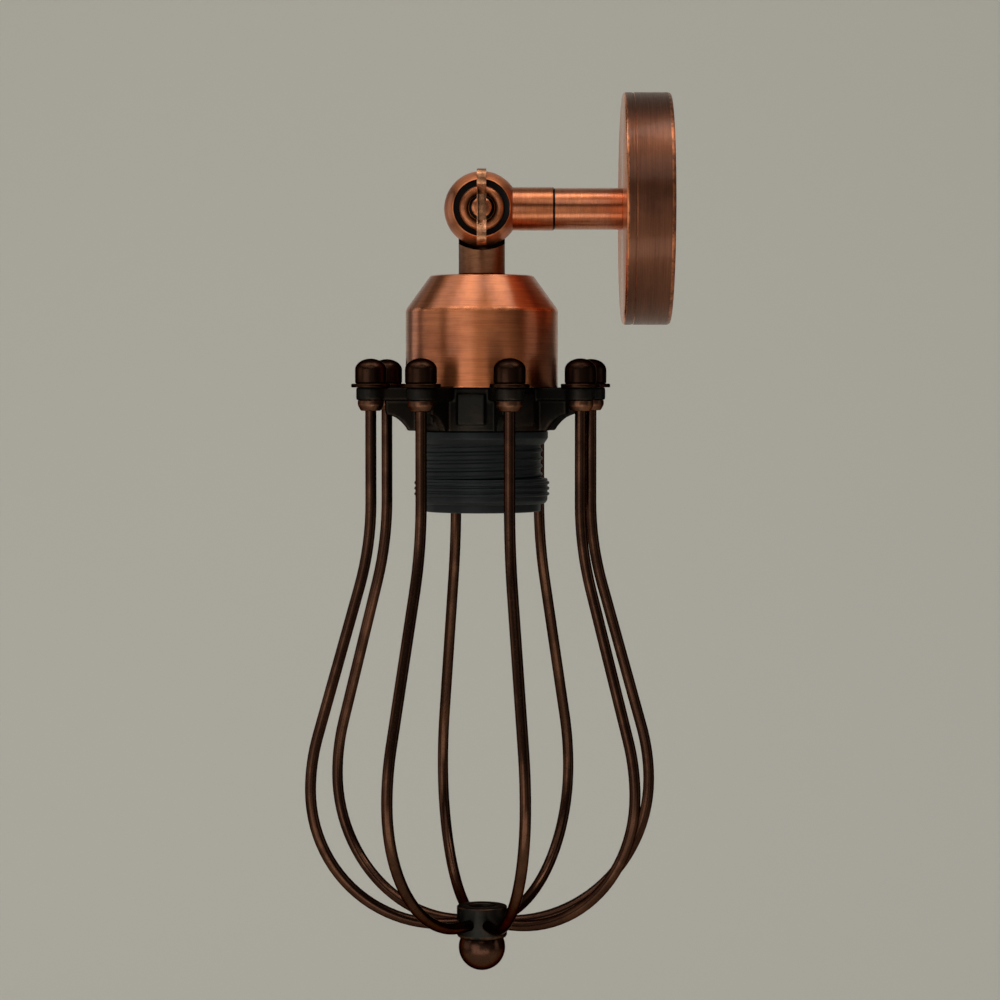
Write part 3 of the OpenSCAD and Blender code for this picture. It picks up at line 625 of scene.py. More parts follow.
def brushed_metal(name, place, base, shade, rough=0.3, lines=5200.0, depth=0.00003,
                  brush=0.85, cloud=0.35, worn=None, lacquer=0.4):
    """Turned and brushed metal with lacquer, tarnish clouds and worn edges."""
    material, w, shader, point = new_material(
        name, place, Metallic=1.0, Coat_Weight=lacquer, Coat_Roughness=0.16,
        Anisotropic=brush, Anisotropic_Rotation=0.25,
    )
    brush_direction(w, shader, point, place)
    grain = use_group(w, "Turned grain", point, lines)
    tarnish = use_group(w, "Tarnish", point, 46.0)
    wear = use_group(w, "Edge wear and shade", point, 420.0)
    brushed = w.spread(grain["Grain"], 0.3, 0.7)
    banded = w.spread(grain["Bands"], 0.36, 0.66)
    tone = w.plus(brushed, 0.34, w.times(banded, 0.26))
    tone = w.plus(tarnish["Clouds"], cloud, tone, clamp=True)
    body = w.mixed(tone, base, shade)
    body = w.mixed(w.times(wear["Worn"], 0.8), body,
                   worn or toned(base, 1.3))
    # Painted shade: faces marked for shade turn near black copper, and rougher.
    body = w.mixed(wear["Painted shade"], body, toned(shade, 0.03))
    sheen = w.plus(brushed, 0.1, rough)
    sheen = w.plus(tarnish["Specks"], 0.07, sheen)
    sheen = w.plus(wear["Worn"], -0.08, sheen)
    sheen = w.plus(wear["Painted shade"], 0.4, sheen, clamp=True)
    surface(w, shader, body, sheen, grain["Grain"], depth)
    return material


def oiled_bronze(name, base, rubbed, rub=0.35, rough=0.36, skin=900.0, depth=0.00004,
                 worn=0.4):
    """Dark oiled metal that shows warm where it is rubbed."""
    material, w, shader, point = new_material(
        name, None, Metallic=1.0, Specular_Tint=(0.2, 0.12, 0.08, 1.0),
    )
    tarnish = use_group(w, "Tarnish", point, 75.0)
    wear = use_group(w, "Edge wear and shade", point, 260.0)
    cast = use_group(w, "Cast skin", point, skin)
    body = w.mixed(w.times(tarnish["Clouds"], rub), base, rubbed)
    body = w.mixed(w.times(tarnish["Specks"], 0.25), body, toned(base, 0.5))
    body = w.mixed(w.times(wear["Worn"], worn), body, rubbed)
    # Painted shade: faces marked for shade turn darker.
    body = w.mixed(wear["Painted shade"], body, toned(base, 0.3))
    sheen = w.plus(tarnish["Specks"], 0.12, rough)
    sheen = w.plus(tarnish["Clouds"], -0.06, sheen, clamp=True)
    surface(w, shader, body, sheen, cast["Height"], depth)
    return material


def moulded(name, base, rough=0.42, depth=0.00003, **sockets):
    """Moulded plastic, ceramic or fibre: faint colour changes, scuffed edges, fine skin."""
    material, w, shader, point = new_material(name, None, **sockets)
    tarnish = use_group(w, "Tarnish", point, 90.0)
    wear = use_group(w, "Edge wear and shade", point, 500.0)
    cast = use_group(w, "Cast skin", point, 1500.0)
    light = [min(1.0, c * 1.25 + 0.006) for c in base]
    body = w.mixed(w.times(tarnish["Clouds"], 0.5), base, toned(base, 0.82))
    body = w.mixed(w.times(wear["Worn"], 0.7), body, light)
    # Painted shade: faces marked for shade turn darker.
    body = w.mixed(w.times(wear["Painted shade"], 0.6), body, toned(base, 0.5))
    sheen = w.plus(tarnish["Specks"], 0.1, rough)
    sheen = w.plus(tarnish["Clouds"], 0.08, sheen, clamp=True)
    surface(w, shader, body, sheen, cast["Height"], depth)
    return material


# Materials made so far, by name.
FINISHES = {}


def finish(name):
    """Material of that name, made when it is first asked for."""
    if name not in FINISHES:
        c = bpy.context.scene.light_finishes
        copper, shade, aged, patina = c.copper[:], c.copper_shade[:], c.aged[:], c.patina[:]
        bronze, rubbed, brass, steel = c.bronze[:], c.rubbed[:], c.brass[:], c.steel[:]
        dim = toned(brass, 0.6)
        make = {
            "copper_rose": lambda: brushed_metal(
                name, WALL_OUT, patina, toned(patina, 0.5), 0.5, worn=copper, lacquer=0.25),
            # The rose's front face: copper lighter than the cup's and glossier, partly a painted
            # highlight.
            "copper_face": lambda: brushed_metal(
                name, WALL_OUT, toned(copper, 1.2), copper, 0.24, lacquer=0.25),
            "copper_arm": lambda: brushed_metal(
                name, WALL_OUT, copper, shade, 0.27, lacquer=0.8),
            "copper_collar": lambda: brushed_metal(name, WALL_OUT, copper, shade, 0.3),
            "copper_cup": lambda: brushed_metal(
                name, HEAD_DOWN, copper, shade, 0.3, brush=0.9),
            "copper_ball": lambda: brushed_metal(
                name, KNUCKLE_FRONT, copper, shade, 0.32, 3000.0, cloud=0.6),
            "copper_stem": lambda: brushed_metal(
                name, HEAD_DOWN, aged, toned(aged, 0.5), 0.5, lacquer=0.1),
            "washer_copper": lambda: brushed_metal(
                name, KNUCKLE_FRONT, copper, shade, 0.4, 2500.0),
            "wing_copper": lambda: brushed_metal(
                name, KNUCKLE_FRONT, aged, toned(aged, 0.25), 0.32, 2500.0, 0.00008,
                brush=0.2, worn=[0.66, 0.3, 0.15], lacquer=0.1),
            "bronze_cast": lambda: oiled_bronze(
                name, c.casting[:], rubbed, 0.06, 0.48, worn=0.35),
            "bronze_rod": lambda: oiled_bronze(
                name, bronze, rubbed, 0.18, 0.25, 600.0, 0.00002),
            "bronze_turned": lambda: oiled_bronze(
                name, toned(bronze, 1.3), rubbed, 0.25, 0.24, 700.0, 0.00002, 0.15),
            "bronze_hub": lambda: oiled_bronze(
                name, c.casting[:], rubbed, 0.08, 0.38, 700.0, 0.00002, 0.25),
            "bronze_cap": lambda: oiled_bronze(
                name, toned(bronze, 0.45), rubbed, 0.06, 0.33, 700.0, 0.00002, 0.08),
            # Under nuts: lighter, warmer rubbed bronze, partly a painted glint.
            "bronze_nut_glint": lambda: oiled_bronze(
                name, toned(bronze, 1.5), rubbed, 0.5, 0.36, 700.0, 0.00002),
            "black_plastic": lambda: moulded(
                name, c.black[:], 0.46, Specular_IOR_Level=0.24),
            "white_plastic": lambda: moulded(name, c.white[:], 0.45),
            "ceramic": lambda: moulded(
                name, c.ceramic[:], 0.28, 0.00005, Coat_Weight=0.6, Coat_Roughness=0.08),
            "fibre": lambda: moulded(name, c.fibre[:], 0.8, 0.00008),
            "brass": lambda: brushed_metal(name, HEAD_DOWN, brass, dim, 0.28, 3500.0),
            "brass_wall": lambda: brushed_metal(name, WALL_OUT, brass, dim, 0.28, 3500.0),
            "steel": lambda: brushed_metal(
                name, WALL_OUT, steel, toned(steel, 0.7), 0.34, 1800.0, brush=0.2),
        }
        FINISHES[name] = make[name]()
    return FINISHES[name]


# ---- Pieces ----------------------------------------------------------------------------

class Step:
    """What every step of the build shares."""
    bl_options = {"REGISTER", "UNDO"}


class LIGHT_OT_rose(Step, bpy.types.Operator):
    """Spin the wall rose and cut the two holes for its side screws"""
    bl_idname = "light.rose"
    bl_label = "Wall Rose"

    def execute(self, context):
        rose = context.scene.light_rose
        radius, depth, sheet = rose.diameter / 2, rose.depth, rose.sheet
        hole, groove = 5.1 * MM, depth - 3.2 * MM
        groove_radius = radius - 0.15 * MM
        bm = turned(WALL_OUT, [
            (hole, depth, 0),
            (radius, depth, rose.front_round),
            (radius, groove + 0.3 * MM, 0),
            (groove_radius, groove + 0.15 * MM, 0),
            (groove_radius, groove - 0.15 * MM, 0),
            (radius, groove - 0.3 * MM, 0),
            (radius, 0, rose.back_round),
            (radius - sheet, 0, 0.3 * MM),
            (radius - sheet, depth - sheet, 0.5 * MM),
            (hole, depth - sheet, 0),
        ], 160)
        for side in (-1, 1):
            hole_tool = cylinder(1.62 * MM, 6 * MM, 32)
            hole_tool.transform(Matrix.Translation(
                (-6 * MM, 0, side * (radius - 3 * MM) - 3 * MM)))
            bm = cut(bm, hole_tool)
        # Faces towards the room take the lighter copper, partly a painted highlight.
        for face in bm.faces:
            face.material_index = int(face.normal.x < -0.3)
        install(finished("rose_shell", bm), "copper_rose copper_face", "copper", "wall_rose")
        return {"FINISHED"}


class LIGHT_OT_arm(Step, bpy.types.Operator):
    """Turn the short arm tube between the rose and the knuckle"""
    bl_idname = "light.arm"
    bl_label = "Arm Tube"

    def execute(self, context):
        arm = context.scene.light_arm
        foot = context.scene.light_rose.depth
        outer, bore = arm.diameter / 2, arm.bore / 2
        bm = turned(WALL_OUT, [
            (bore, foot, 0), (outer, foot, 0.25 * MM),
            (outer, arm.reach, 0.4 * MM), (bore, arm.reach, 0.2 * MM),
        ], 96)
        # A painted shadow line round the tube's end, against the knuckle's collar.
        painted_shade_band(bm, WALL_OUT, outer + MM, arm.reach - 0.35 * MM, arm.reach + MM)
        install(finished("arm_sleeve", bm), "copper_arm", "dark_copper", "arm_tube")
        return {"FINISHED"}


def ball_outline(knuckle, recessed):
    """Half a ball with its flat, and on the front half the recess for the washer."""
    radius, flat, gap, bore = knuckle.ball / 2, knuckle.flat, 0.3 * MM, 2.55 * MM
    first, last = math.asin(gap / radius), math.asin(flat / radius)
    outline = [
        (radius * math.cos(a), radius * math.sin(a), 0)
        for a in (first + (last - first) * i / 20 for i in range(20))
    ]
    outline.append((math.sqrt(radius ** 2 - flat ** 2), flat, 0.2 * MM))
    floor = knuckle.recess_floor
    if recessed:
        outline += [(knuckle.recess / 2, flat, 0.2 * MM), (knuckle.recess / 2, floor, 0.3 * MM),
                    (bore, floor, 0)]
    else:
        outline.append((bore, flat, 0.2 * MM))
    return outline + [(bore, gap, 0), (CHAMBER, gap, 0)]


def knuckle_collar(knuckle, diameter, start, end, place, far_side, shade_width=0.35 * MM):
    """Collar along local Z with the saddle that the other half swings in."""
    bore, radius = 3.2 * MM, diameter / 2
    bm = turned(Matrix.Identity(4), [
        (bore, start, 0), (radius, start, 0), (radius, end - shade_width, 0),
        (radius, end, 0.3 * MM), (bore, end, 0),
    ], 96)
    bm.transform(place)
    saddle = cylinder(knuckle.saddle, 30 * MM, 160)
    saddle.transform(Matrix.Translation(PIVOT) @ Matrix.Rotation(
        -far_side * math.pi / 2, 4, "X") @ Matrix.Translation((0, 0, -0.3 * MM)))
    bm = broken_edges(cut(bm, saddle), knuckle.edge)
    # The saddle's faces get painted shade.
    wear = wear_and_shade_layer(bm)
    for face in bm.faces:
        face.material_index = 1
        reach = face.calc_center_median() - PIVOT
        if math.hypot(reach.x, reach.z) < knuckle.saddle + 0.02 * MM:
            face[wear] = -1.0
    # A band at the collar's end gets painted shade: a painted shadow line where it meets the next
    # part.
    return painted_shade_band(bm, place, radius + MM, end - shade_width, end + MM)


class LIGHT_OT_knuckle(Step, bpy.types.Operator):
    """Build the two halves of the ball knuckle, each with its collar"""
    bl_idname = "light.knuckle"
    bl_label = "Knuckle"

    def execute(self, context):
        knuckle = context.scene.light_knuckle
        arm_length = -PIVOT.x - context.scene.light_arm.reach
        arm_place = Matrix.Translation(PIVOT) @ Matrix.Rotation(math.pi / 2, 4, "Y")
        ball = turned(KNUCKLE_FRONT, ball_outline(knuckle, True), 128)
        # The washer's recess gets painted shade.
        painted_shade_band(ball, KNUCKLE_FRONT, knuckle.recess / 2 + knuckle.edge,
                  knuckle.recess_floor - knuckle.edge, knuckle.flat - knuckle.edge)
        collar = knuckle_collar(knuckle, knuckle.collar, CHAMBER, arm_length, arm_place, 1)
        install(finished("knuckle_front", joined([ball, collar])), "copper_ball copper_collar",
                "copper", "knuckle_arm_half")
        back = turned(KNUCKLE_BACK, ball_outline(knuckle, False), 128)
        nut_hole = cylinder(4.62 * MM, 10 * MM, 6)
        nut_hole.transform(KNUCKLE_BACK @ Matrix.Translation((0, 0, 4.4 * MM)))
        back = cut(back, nut_hole)
        # The stem gets a 0.7 mm painted shadow line where it meets the cup.
        stem = knuckle_collar(
            knuckle, knuckle.stem, CHAMBER, 21.6 * MM, HEAD_DOWN, -1, 0.7 * MM)
        piece = finished("knuckle_back", joined([back, stem]))
        install(piece, "copper_ball copper_stem", "copper", "knuckle_head_half")
        return {"FINISHED"}


class LIGHT_OT_wing_screw(Step, bpy.types.Operator):
    """Build the wing screw and the rolled washer under it"""
    bl_idname = "light.wing_screw"
    bl_label = "Wing Screw"

    def execute(self, context):
        foot = context.scene.light_knuckle.recess_floor
        seat, roll = foot + 1.2 * MM, foot + 2.15 * MM
        bore, rim = 2.55 * MM, 7.2 * MM
        washer = turned(KNUCKLE_FRONT, [
            (bore, foot, 0), (rim, foot, 0.2 * MM), (rim, foot + 1.4 * MM, 0),
            (6.75 * MM, roll, 0.3 * MM), (5.85 * MM, foot + 2.4 * MM, 0.4 * MM),
            (4.95 * MM, roll, 0.3 * MM), (4.5 * MM, seat, 0.2 * MM), (bore, seat, 0),
        ], 96)
        install(finished("pressure_washer_ring", washer), "washer_copper", "dark_copper",
                "pressure_washer")
        shank, tip, side, step = 2.4 * MM, -8 * MM, 4.1 * MM, 3.3 * MM
        boss = turned(KNUCKLE_FRONT, [
            (0, tip, 0), (shank, tip, 0.3 * MM), (shank, seat, 0),
            (side, seat, 0.2 * MM), (side, seat + 3.5 * MM, 0.4 * MM),
            (step, seat + 3.6 * MM, 0.2 * MM), (2.9 * MM, seat + 4.2 * MM, 0.5 * MM),
            (0, seat + 4.4 * MM, 0),
        ], 64)
        wear = wear_and_shade_layer(boss)
        for face in boss.faces:
            reach = face.calc_center_median() - PIVOT
            radius = math.hypot(reach.x, reach.z)
            face.material_index = int(radius < step)
            # The boss's outer faces beside the blade get painted shade.
            if radius > 3.15 * MM:
                face[wear] = -1.0
        screw_thread = thread(2.05 * MM, 0.35 * MM, 0.8 * MM, tip, seat, 32)
        screw_thread.transform(KNUCKLE_FRONT)
        piece = finished("wing_screw_body", joined([boss, screw_thread, self.wings(seat)]))
        install(piece, "wing_copper washer_copper", "dark_copper", "wing_screw")
        return {"FINISHED"}

    def wings(self, seat):
        """Flat blade through the boss, with a rounded wing at each end."""
        bm = bmesh.new()
        half = [(4.1, 1.5, 0), (10.5, 3.06, 0), (13.44, 4.76, 3.4), (10.04, 10.64, 3.4),
                (7.1, 8.94, 0), (4.1, 5.7, 0)]
        outline = half + [(0, 6, 0)] + [(-x, h, r) for x, h, r in reversed(half)]
        corners = [bm.verts.new((-1.5 * MM, x * MM, h * MM)) for x, h, _ in outline]
        bm.faces.new(corners)
        tips = [v for v, p in zip(corners, outline) if p[2]]
        bmesh.ops.bevel(bm, geom=tips, offset=3.39 * MM, offset_type="OFFSET", segments=7,
                        profile=0.5, affect="VERTICES", material=-1)
        extruded(bm, bm.faces[:], (3 * MM, 0, 0))
        bmesh.ops.recalc_face_normals(bm, faces=bm.faces)
        sides = [f for f in bm.faces if abs(f.normal.x) > 0.9]
        bmesh.ops.inset_region(bm, faces=sides, thickness=0.8 * MM, depth=0.0)
        for face in sides:
            inward = -0.25 * MM if face.normal.x > 0 else 0.25 * MM
            bmesh.ops.translate(bm, verts=face.verts[:], vec=(inward, 0, 0))
        broken_edges(bm, 0.4 * MM, 3)
        wear = wear_and_shade_layer(bm)
        for face in bm.faces:
            if abs(face.normal.x) < 0.5:
                face[wear] = 1.0
        bm.transform(KNUCKLE_FRONT @ Matrix.Translation((0, 0, seat)))
        return bm


class LIGHT_OT_cup(Step, bpy.types.Operator):
    """Turn the spun cup over the lamp holder"""
    bl_idname = "light.cup"
    bl_label = "Cup"

    def execute(self, context):
        cup = context.scene.light_cup
        outer, top, sheet = cup.diameter / 2, cup.top_diameter / 2, cup.sheet
        bm = turned(HEAD_DOWN, [
            (5.1 * MM, cup.top, 0), (top, cup.top, 0.55 * MM),
            (outer, cup.shoulder, 0.7 * MM), (outer, cup.edge, 0.35 * MM),
            (outer - sheet, cup.edge, 0.2 * MM),
            (outer - sheet, cup.shoulder + 0.4 * MM, 0.4 * MM),
            (top - 0.5 * MM, cup.top + sheet, 0.4 * MM), (5.1 * MM, cup.top + sheet, 0),
        ], 192)
        install(finished("cup_shell", bm), "copper_cup", "copper", "holder_cup")
        return {"FINISHED"}


class LIGHT_OT_lamp_holder(Step, bpy.types.Operator):
    """Build the threaded barrel and the brass shell that takes the lamp"""
    bl_idname = "light.lamp_holder"
    bl_label = "Lamp Holder"

    def execute(self, context):
        holder, cup = context.scene.light_holder, context.scene.light_cup
        outer, end = holder.barrel / 2, holder.end
        root, thick = outer - holder.thread_height, 3.5 * MM
        spigot, flange, lip, inner = 18 * MM, 23.2 * MM, 14.4 * MM, 15.4 * MM
        bm = turned(HEAD_DOWN, [
            (spigot, cup.edge - thick, 0), (flange, cup.edge - thick, 0.3 * MM),
            (flange, cup.edge, 0.2 * MM), (outer, cup.edge, 0),
            (outer, 71.6 * MM, 0.2 * MM), (root, 72.1 * MM, 0.2 * MM),
            (root, end, 0.5 * MM), (lip, end, 0.5 * MM),
            (lip, end - thick, 0.3 * MM), (inner, end - thick, 0.2 * MM),
            (inner, INSERT_END, 0.4 * MM), (spigot, INSERT_END, 0),
        ], 144)
        ridge = thread(root, holder.thread_height, holder.pitch, 71.9 * MM, 96.6 * MM, 96)
        ridge.transform(HEAD_DOWN)
        piece = finished("lamp_holder_barrel", joined([bm, ridge]))
        install(piece, "black_plastic", "black_plastic", "holder_skirt")
        install(self.shell(holder), "brass", "brass", "screw_shell")
        return {"FINISHED"}

    def shell(self, holder):
        """Thin rolled shell: a wave of one pitch spun down a helix, trimmed at both ends."""
        bm = bmesh.new()
        steps, waves, turns = 72, 10, 7
        step_depth, end_depth = 73.5 * MM, 93.5 * MM
        foot_radius, eye_radius = 11.2 * MM, 8.8 * MM
        crest, pitch = holder.shell / 2, holder.shell_pitch
        line = []
        for i in range(waves + 1):
            swing = math.cos(2 * math.pi * i / waves)
            line.append(bm.verts.new((crest - 0.55 * MM * (1 - swing), 0, pitch * i / waves)))
        edges = [bm.edges.new(pair) for pair in zip(line, line[1:])]
        bmesh.ops.spin(
            bm, geom=line + edges, cent=(0, 0, 0), axis=(0, 0, 1), dvec=(0, 0, pitch / steps),
            angle=2 * math.pi * turns, steps=turns * steps,
        )
        bmesh.ops.remove_doubles(bm, verts=bm.verts, dist=2e-6)
        bmesh.ops.translate(bm, verts=bm.verts, vec=(0, 0, step_depth - 1.2 * pitch))
        for height, side in ((step_depth, -1), (end_depth, 1)):
            bmesh.ops.bisect_plane(
                bm, geom=bm.verts[:] + bm.edges[:] + bm.faces[:], plane_co=(0, 0, height),
                plane_no=(0, 0, side), clear_outer=True, dist=1e-7,
            )
        rim = [e for e in bm.edges if e.is_boundary and
               all(abs(v.co.z - step_depth) < 1e-6 for v in e.verts)]
        for radius, depth in ((foot_radius, None), (None, INSERT_END), (eye_radius, None)):
            made = bmesh.ops.extrude_edge_only(bm, edges=rim)["geom"]
            rim = only(BMEdge, made)
            for v in only(BMVert, made):
                if radius:
                    v.co.xy = v.co.xy.normalized() * radius
                else:
                    v.co.z = depth
        bmesh.ops.remove_doubles(bm, verts=bm.verts, dist=1e-6)
        bmesh.ops.recalc_face_normals(bm, faces=bm.faces)
        bmesh.ops.solidify(bm, geom=bm.faces[:], thickness=0.35 * MM)
        bm.transform(HEAD_DOWN)
        return finished("threaded_shell", bm)


class LIGHT_OT_shade_rings(Step, bpy.types.Operator):
    """Turn the two plastic rings that run on the lamp holder's thread"""
    bl_idname = "light.shade_rings"
    bl_label = "Shade Rings"

    def execute(self, context):
        bore = context.scene.light_holder.barrel / 2 + 0.1 * MM
        top, end, outer = 72 * MM, 76.2 * MM, 21.5 * MM
        upper = turned(HEAD_DOWN, [
            (bore, top, 0.2 * MM), (outer, top, 0.3 * MM), (outer, 74.2 * MM, 0.3 * MM),
            (20.1 * MM, end, 0.3 * MM), (bore, end, 0),
        ], 128)
        install(finished("upper_shade_ring", upper), "black_plastic",
                "black_plastic", "upper_ring")
        top, end, outer = 87.3 * MM, 95.4 * MM, 21.95 * MM
        root = outer - 0.6 * MM
        outline = [(bore, top, 0.2 * MM), (root, top, 0.3 * MM)]
        for i in range(3):
            ridge = top + 1.8 * MM * (i + 0.45)
            outline += [(root, ridge, 0.1 * MM), (outer, ridge + 0.25 * MM, 0.2 * MM),
                        (outer, ridge + 0.95 * MM, 0.2 * MM),
                        (root, ridge + 1.2 * MM, 0.1 * MM)]
        outline += [(root, end - 1.1 * MM, 0.3 * MM), (root - 0.8 * MM, end, 0.3 * MM),
                    (bore, end, 0.2 * MM)]
        lower = turned(HEAD_DOWN, outline, 128)
        install(finished("lower_shade_ring", lower), "black_plastic",
                "black_plastic", "lower_ring")
        return {"FINISHED"}


class LIGHT_OT_spider(Step, bpy.types.Operator):
    """Cast the spider: a collar with one arm, web and eye for each rod"""
    bl_idname = "light.spider"
    bl_label = "Spider"

    def execute(self, context):
        cage, cup = context.scene.light_cage, context.scene.light_cup
        top, end = cup.edge, cup.edge + 14 * MM
        bore, outer = 20.05 * MM, 22.3 * MM
        parts = [turned(HEAD_DOWN, [
            (bore, top, 0), (outer, top, 0), (outer, end, 0), (bore, end, 0)], 128)]
        round_the_cage(parts, block(
            (bore + 0.6 * MM, -3.2 * MM, -(top + 4.1 * MM)),
            (cage.top_radius, 3.2 * MM, -top - 0.02 * MM)))
        eye = cylinder(4.7 * MM, 4.1 * MM, 48)
        eye.transform(Matrix.Translation((cage.top_radius, 0, -top - 4.1 * MM)))
        round_the_cage(parts, eye)
        round_the_cage(parts, self.web(top))
        panel = block((bore + 0.6 * MM, -4.4 * MM, -(end - 2.2 * MM)),
                      (outer + 0.6 * MM, 4.4 * MM, -(top + 2.2 * MM)))
        panel.transform(Matrix.Rotation(math.pi / RIBS, 4, "Z"))
        round_the_cage(parts, panel)
        rough = finished("spider_rough", joined(parts))
        skin = rough.modifiers.new("Skin", "REMESH")
        skin.mode = "VOXEL"
        skin.voxel_size = 0.4 * MM
        bm = applied(rough)
        for _ in range(3):
            bmesh.ops.smooth_vert(bm, verts=bm.verts, factor=0.5, use_axis_x=True,
                                  use_axis_y=True, use_axis_z=True)
        piece = finished("spider_casting", bm)
        install(piece, "bronze_cast", "bronze", "cage_spider")
        return {"FINISHED"}

    def web(self, top):
        """Web under an arm, hollowed by an arc towards the eye."""
        bm = bmesh.new()
        centre, radius = Vector((33.5 * MM, -(top + 18.4 * MM))), 10 * MM
        inner, tip, high, low = 20.7 * MM, 32 * MM, -(top + 1 * MM), -(top + 14 * MM)
        points = [(inner, low), (inner, high), (tip, high)]
        first = math.atan2(-(top + 8.5 * MM) - centre.y, tip - centre.x)
        for i in range(9):
            a = first + (math.pi - 0.46 - first) * i / 8
            points.append((centre.x + radius * math.cos(a), centre.y + radius * math.sin(a)))
        points.append((24.6 * MM, low))
        face = bm.faces.new([bm.verts.new((x, -1.2 * MM, z)) for x, z in points])
        extruded(bm, [face], (0, 2.4 * MM, 0))
        bmesh.ops.recalc_face_normals(bm, faces=bm.faces)
        return bm


class LIGHT_OT_nuts(Step, bpy.types.Operator):
    """Turn the domed cap nuts on the spider and the plain nuts under it"""
    bl_idname = "light.nuts"
    bl_label = "Nuts"

    def execute(self, context):
        cage, edge = context.scene.light_cage, context.scene.light_cup.edge
        rod, cap, flange, under = cage.rod / 2, 5.05 * MM, 6.3 * MM, 4.2 * MM
        down = Matrix.Rotation(math.pi, 4, "X")
        foot, crown = edge - 1.2 * MM, edge - 9.3 * MM
        outline = [(0, crown, 0)] + [
            (cap * math.sin(a), crown + 3.6 * MM * (1 - math.cos(a)), 0)
            for a in (math.radians(d) for d in range(10, 91, 10))
        ]
        outline += [
            (cap, foot - 0.5 * MM, 0), (4.7 * MM, foot, 0.2 * MM),
            (flange, foot, 0.3 * MM), (flange, edge, 0.3 * MM), (0, edge, 0)]
        caps = self.standing(turned(down, outline, 48), cage)
        install(finished("cap_nuts_domed", joined(caps)), "bronze_cap", "bronze",
                "cap_nuts")
        eye = edge + 4.1 * MM
        end = eye + 3.4 * MM
        outline = [(rod, eye, 0), (under, eye, 0.3 * MM), (under, eye + 1.6 * MM, 0.4 * MM),
                   (3.2 * MM, end, 0.4 * MM), (rod, end, 0)]
        unders = self.standing(turned(down, outline, 48), cage)
        install(finished("under_nuts_turned", joined(unders)), "bronze_nut_glint", "bronze",
                "under_nuts")
        return {"FINISHED"}

    def standing(self, bm, cage):
        """One nut set down in every rod's place."""
        bm.transform(Matrix.Translation((cage.top_radius, 0, 0)))
        return round_the_cage([], bm)


class LIGHT_OT_rods(Step, bpy.types.Operator):
    """Bend the eight rods of the cage"""
    bl_idname = "light.rods"
    bl_label = "Rods"

    def execute(self, context):
        cage = context.scene.light_cage
        for i in range(RIBS):
            bm = self.bent(cage)
            bm.transform(Matrix.Translation(PIVOT) @ Matrix.Rotation(
                rib_angle(cage, i), 4, "Z"))
            install(finished("cage_rod_%d" % (i + 1), bm), "bronze_rod", "bronze",
                    "cage_rib_%d" % (i + 1))
        return {"FINISHED"}

    def bent(self, cage):
        """A round section drawn down, bent out, round the widest place and in to the hub."""
        gain, lean = 1 - math.cos(cage.lean), cage.lean
        leaning = (cage.wide_radius - cage.bend_wide * gain) - (
            cage.top_radius + cage.bend_out * gain)
        straight = leaning / math.sin(lean)
        lean_end = cage.wide_depth - cage.bend_wide * math.sin(lean)
        bend_start = lean_end - straight * math.cos(lean) - cage.bend_out * math.sin(lean)
        bm = bmesh.new()
        top = 50.8 * MM
        bmesh.ops.create_circle(
            bm, cap_ends=True, segments=cage.rod_sides, radius=cage.rod / 2,
            matrix=Matrix.Translation((cage.top_radius, 0, -top)),
        )
        section = bm.faces[:]
        section = self.drawn(bm, section, (0, 0, top - bend_start), 3)
        section = self.spun(bm, section, cage.top_radius + cage.bend_out, bend_start, -lean, 8)
        section = self.drawn(bm, section, (leaning, 0, -straight * math.cos(lean)), 4)
        section = self.spun(
            bm, section, cage.wide_radius - cage.bend_wide, cage.wide_depth, lean, 8)
        section = self.spun(
            bm, section, cage.wide_radius - cage.bend_under, cage.wide_depth, math.pi / 2, 24)
        inward = cage.wide_radius - cage.bend_under - 5.6 * MM
        self.drawn(bm, section, (-inward, 0, 0), 2)
        return bm

    def drawn(self, bm, section, vector, steps):
        """Draws the rod's end face along a straight stretch."""
        for _ in range(steps):
            section = extruded(bm, section, Vector(vector) / steps)
        return section

    def spun(self, bm, section, centre_radius, centre_depth, angle, steps):
        """Bends the rod's end face round a centre."""
        edges = {e for f in section for e in f.edges}
        verts = {v for f in section for v in f.verts}
        made = bmesh.ops.spin(
            bm, geom=section + list(edges) + list(verts),
            cent=(centre_radius, 0, -centre_depth), axis=(0, 1, 0), angle=angle, steps=steps,
        )["geom_last"]
        return only(BMFace, made)


class LIGHT_OT_hub(Step, bpy.types.Operator):
    """Turn the hub that gathers the rods and the ball under it"""
    bl_idname = "light.hub"
    bl_label = "Hub"

    def execute(self, context):
        top, end, floor, stud_top = 227 * MM, 237.4 * MM, 232 * MM, 228.7 * MM
        outer, hole, stud_hole, stud = 8.2 * MM, 4.3 * MM, 2.1 * MM, 2 * MM
        hub = turned(HEAD_DOWN, [
            (hole, top, 0.35 * MM), (outer, top, 0.45 * MM), (outer, end, 1.2 * MM),
            (stud_hole, end, 0), (stud_hole, floor, 0.2 * MM), (hole, floor, 0.4 * MM),
        ], 96)
        install(finished("hub_cup", hub), "bronze_hub", "bronze", "cage_hub")
        radius, centre = 7.6 * MM, 240.6 * MM
        first = math.acos((centre - end) / radius)
        last = math.pi - math.radians(14)
        ball = [
            (radius * math.sin(a), centre - radius * math.cos(a), 0)
            for a in (first + (last - first) * i / 28 for i in range(29))
        ]
        outline = [(0, stud_top, 0), (stud, stud_top, 0.3 * MM), (stud, end, 0)]
        outline += ball + [(0, ball[-1][1], 0)]
        piece = finished("finial_ball", turned(HEAD_DOWN, outline, 96))
        install(piece, "bronze_turned", "bronze", "finial")
        return {"FINISHED"}


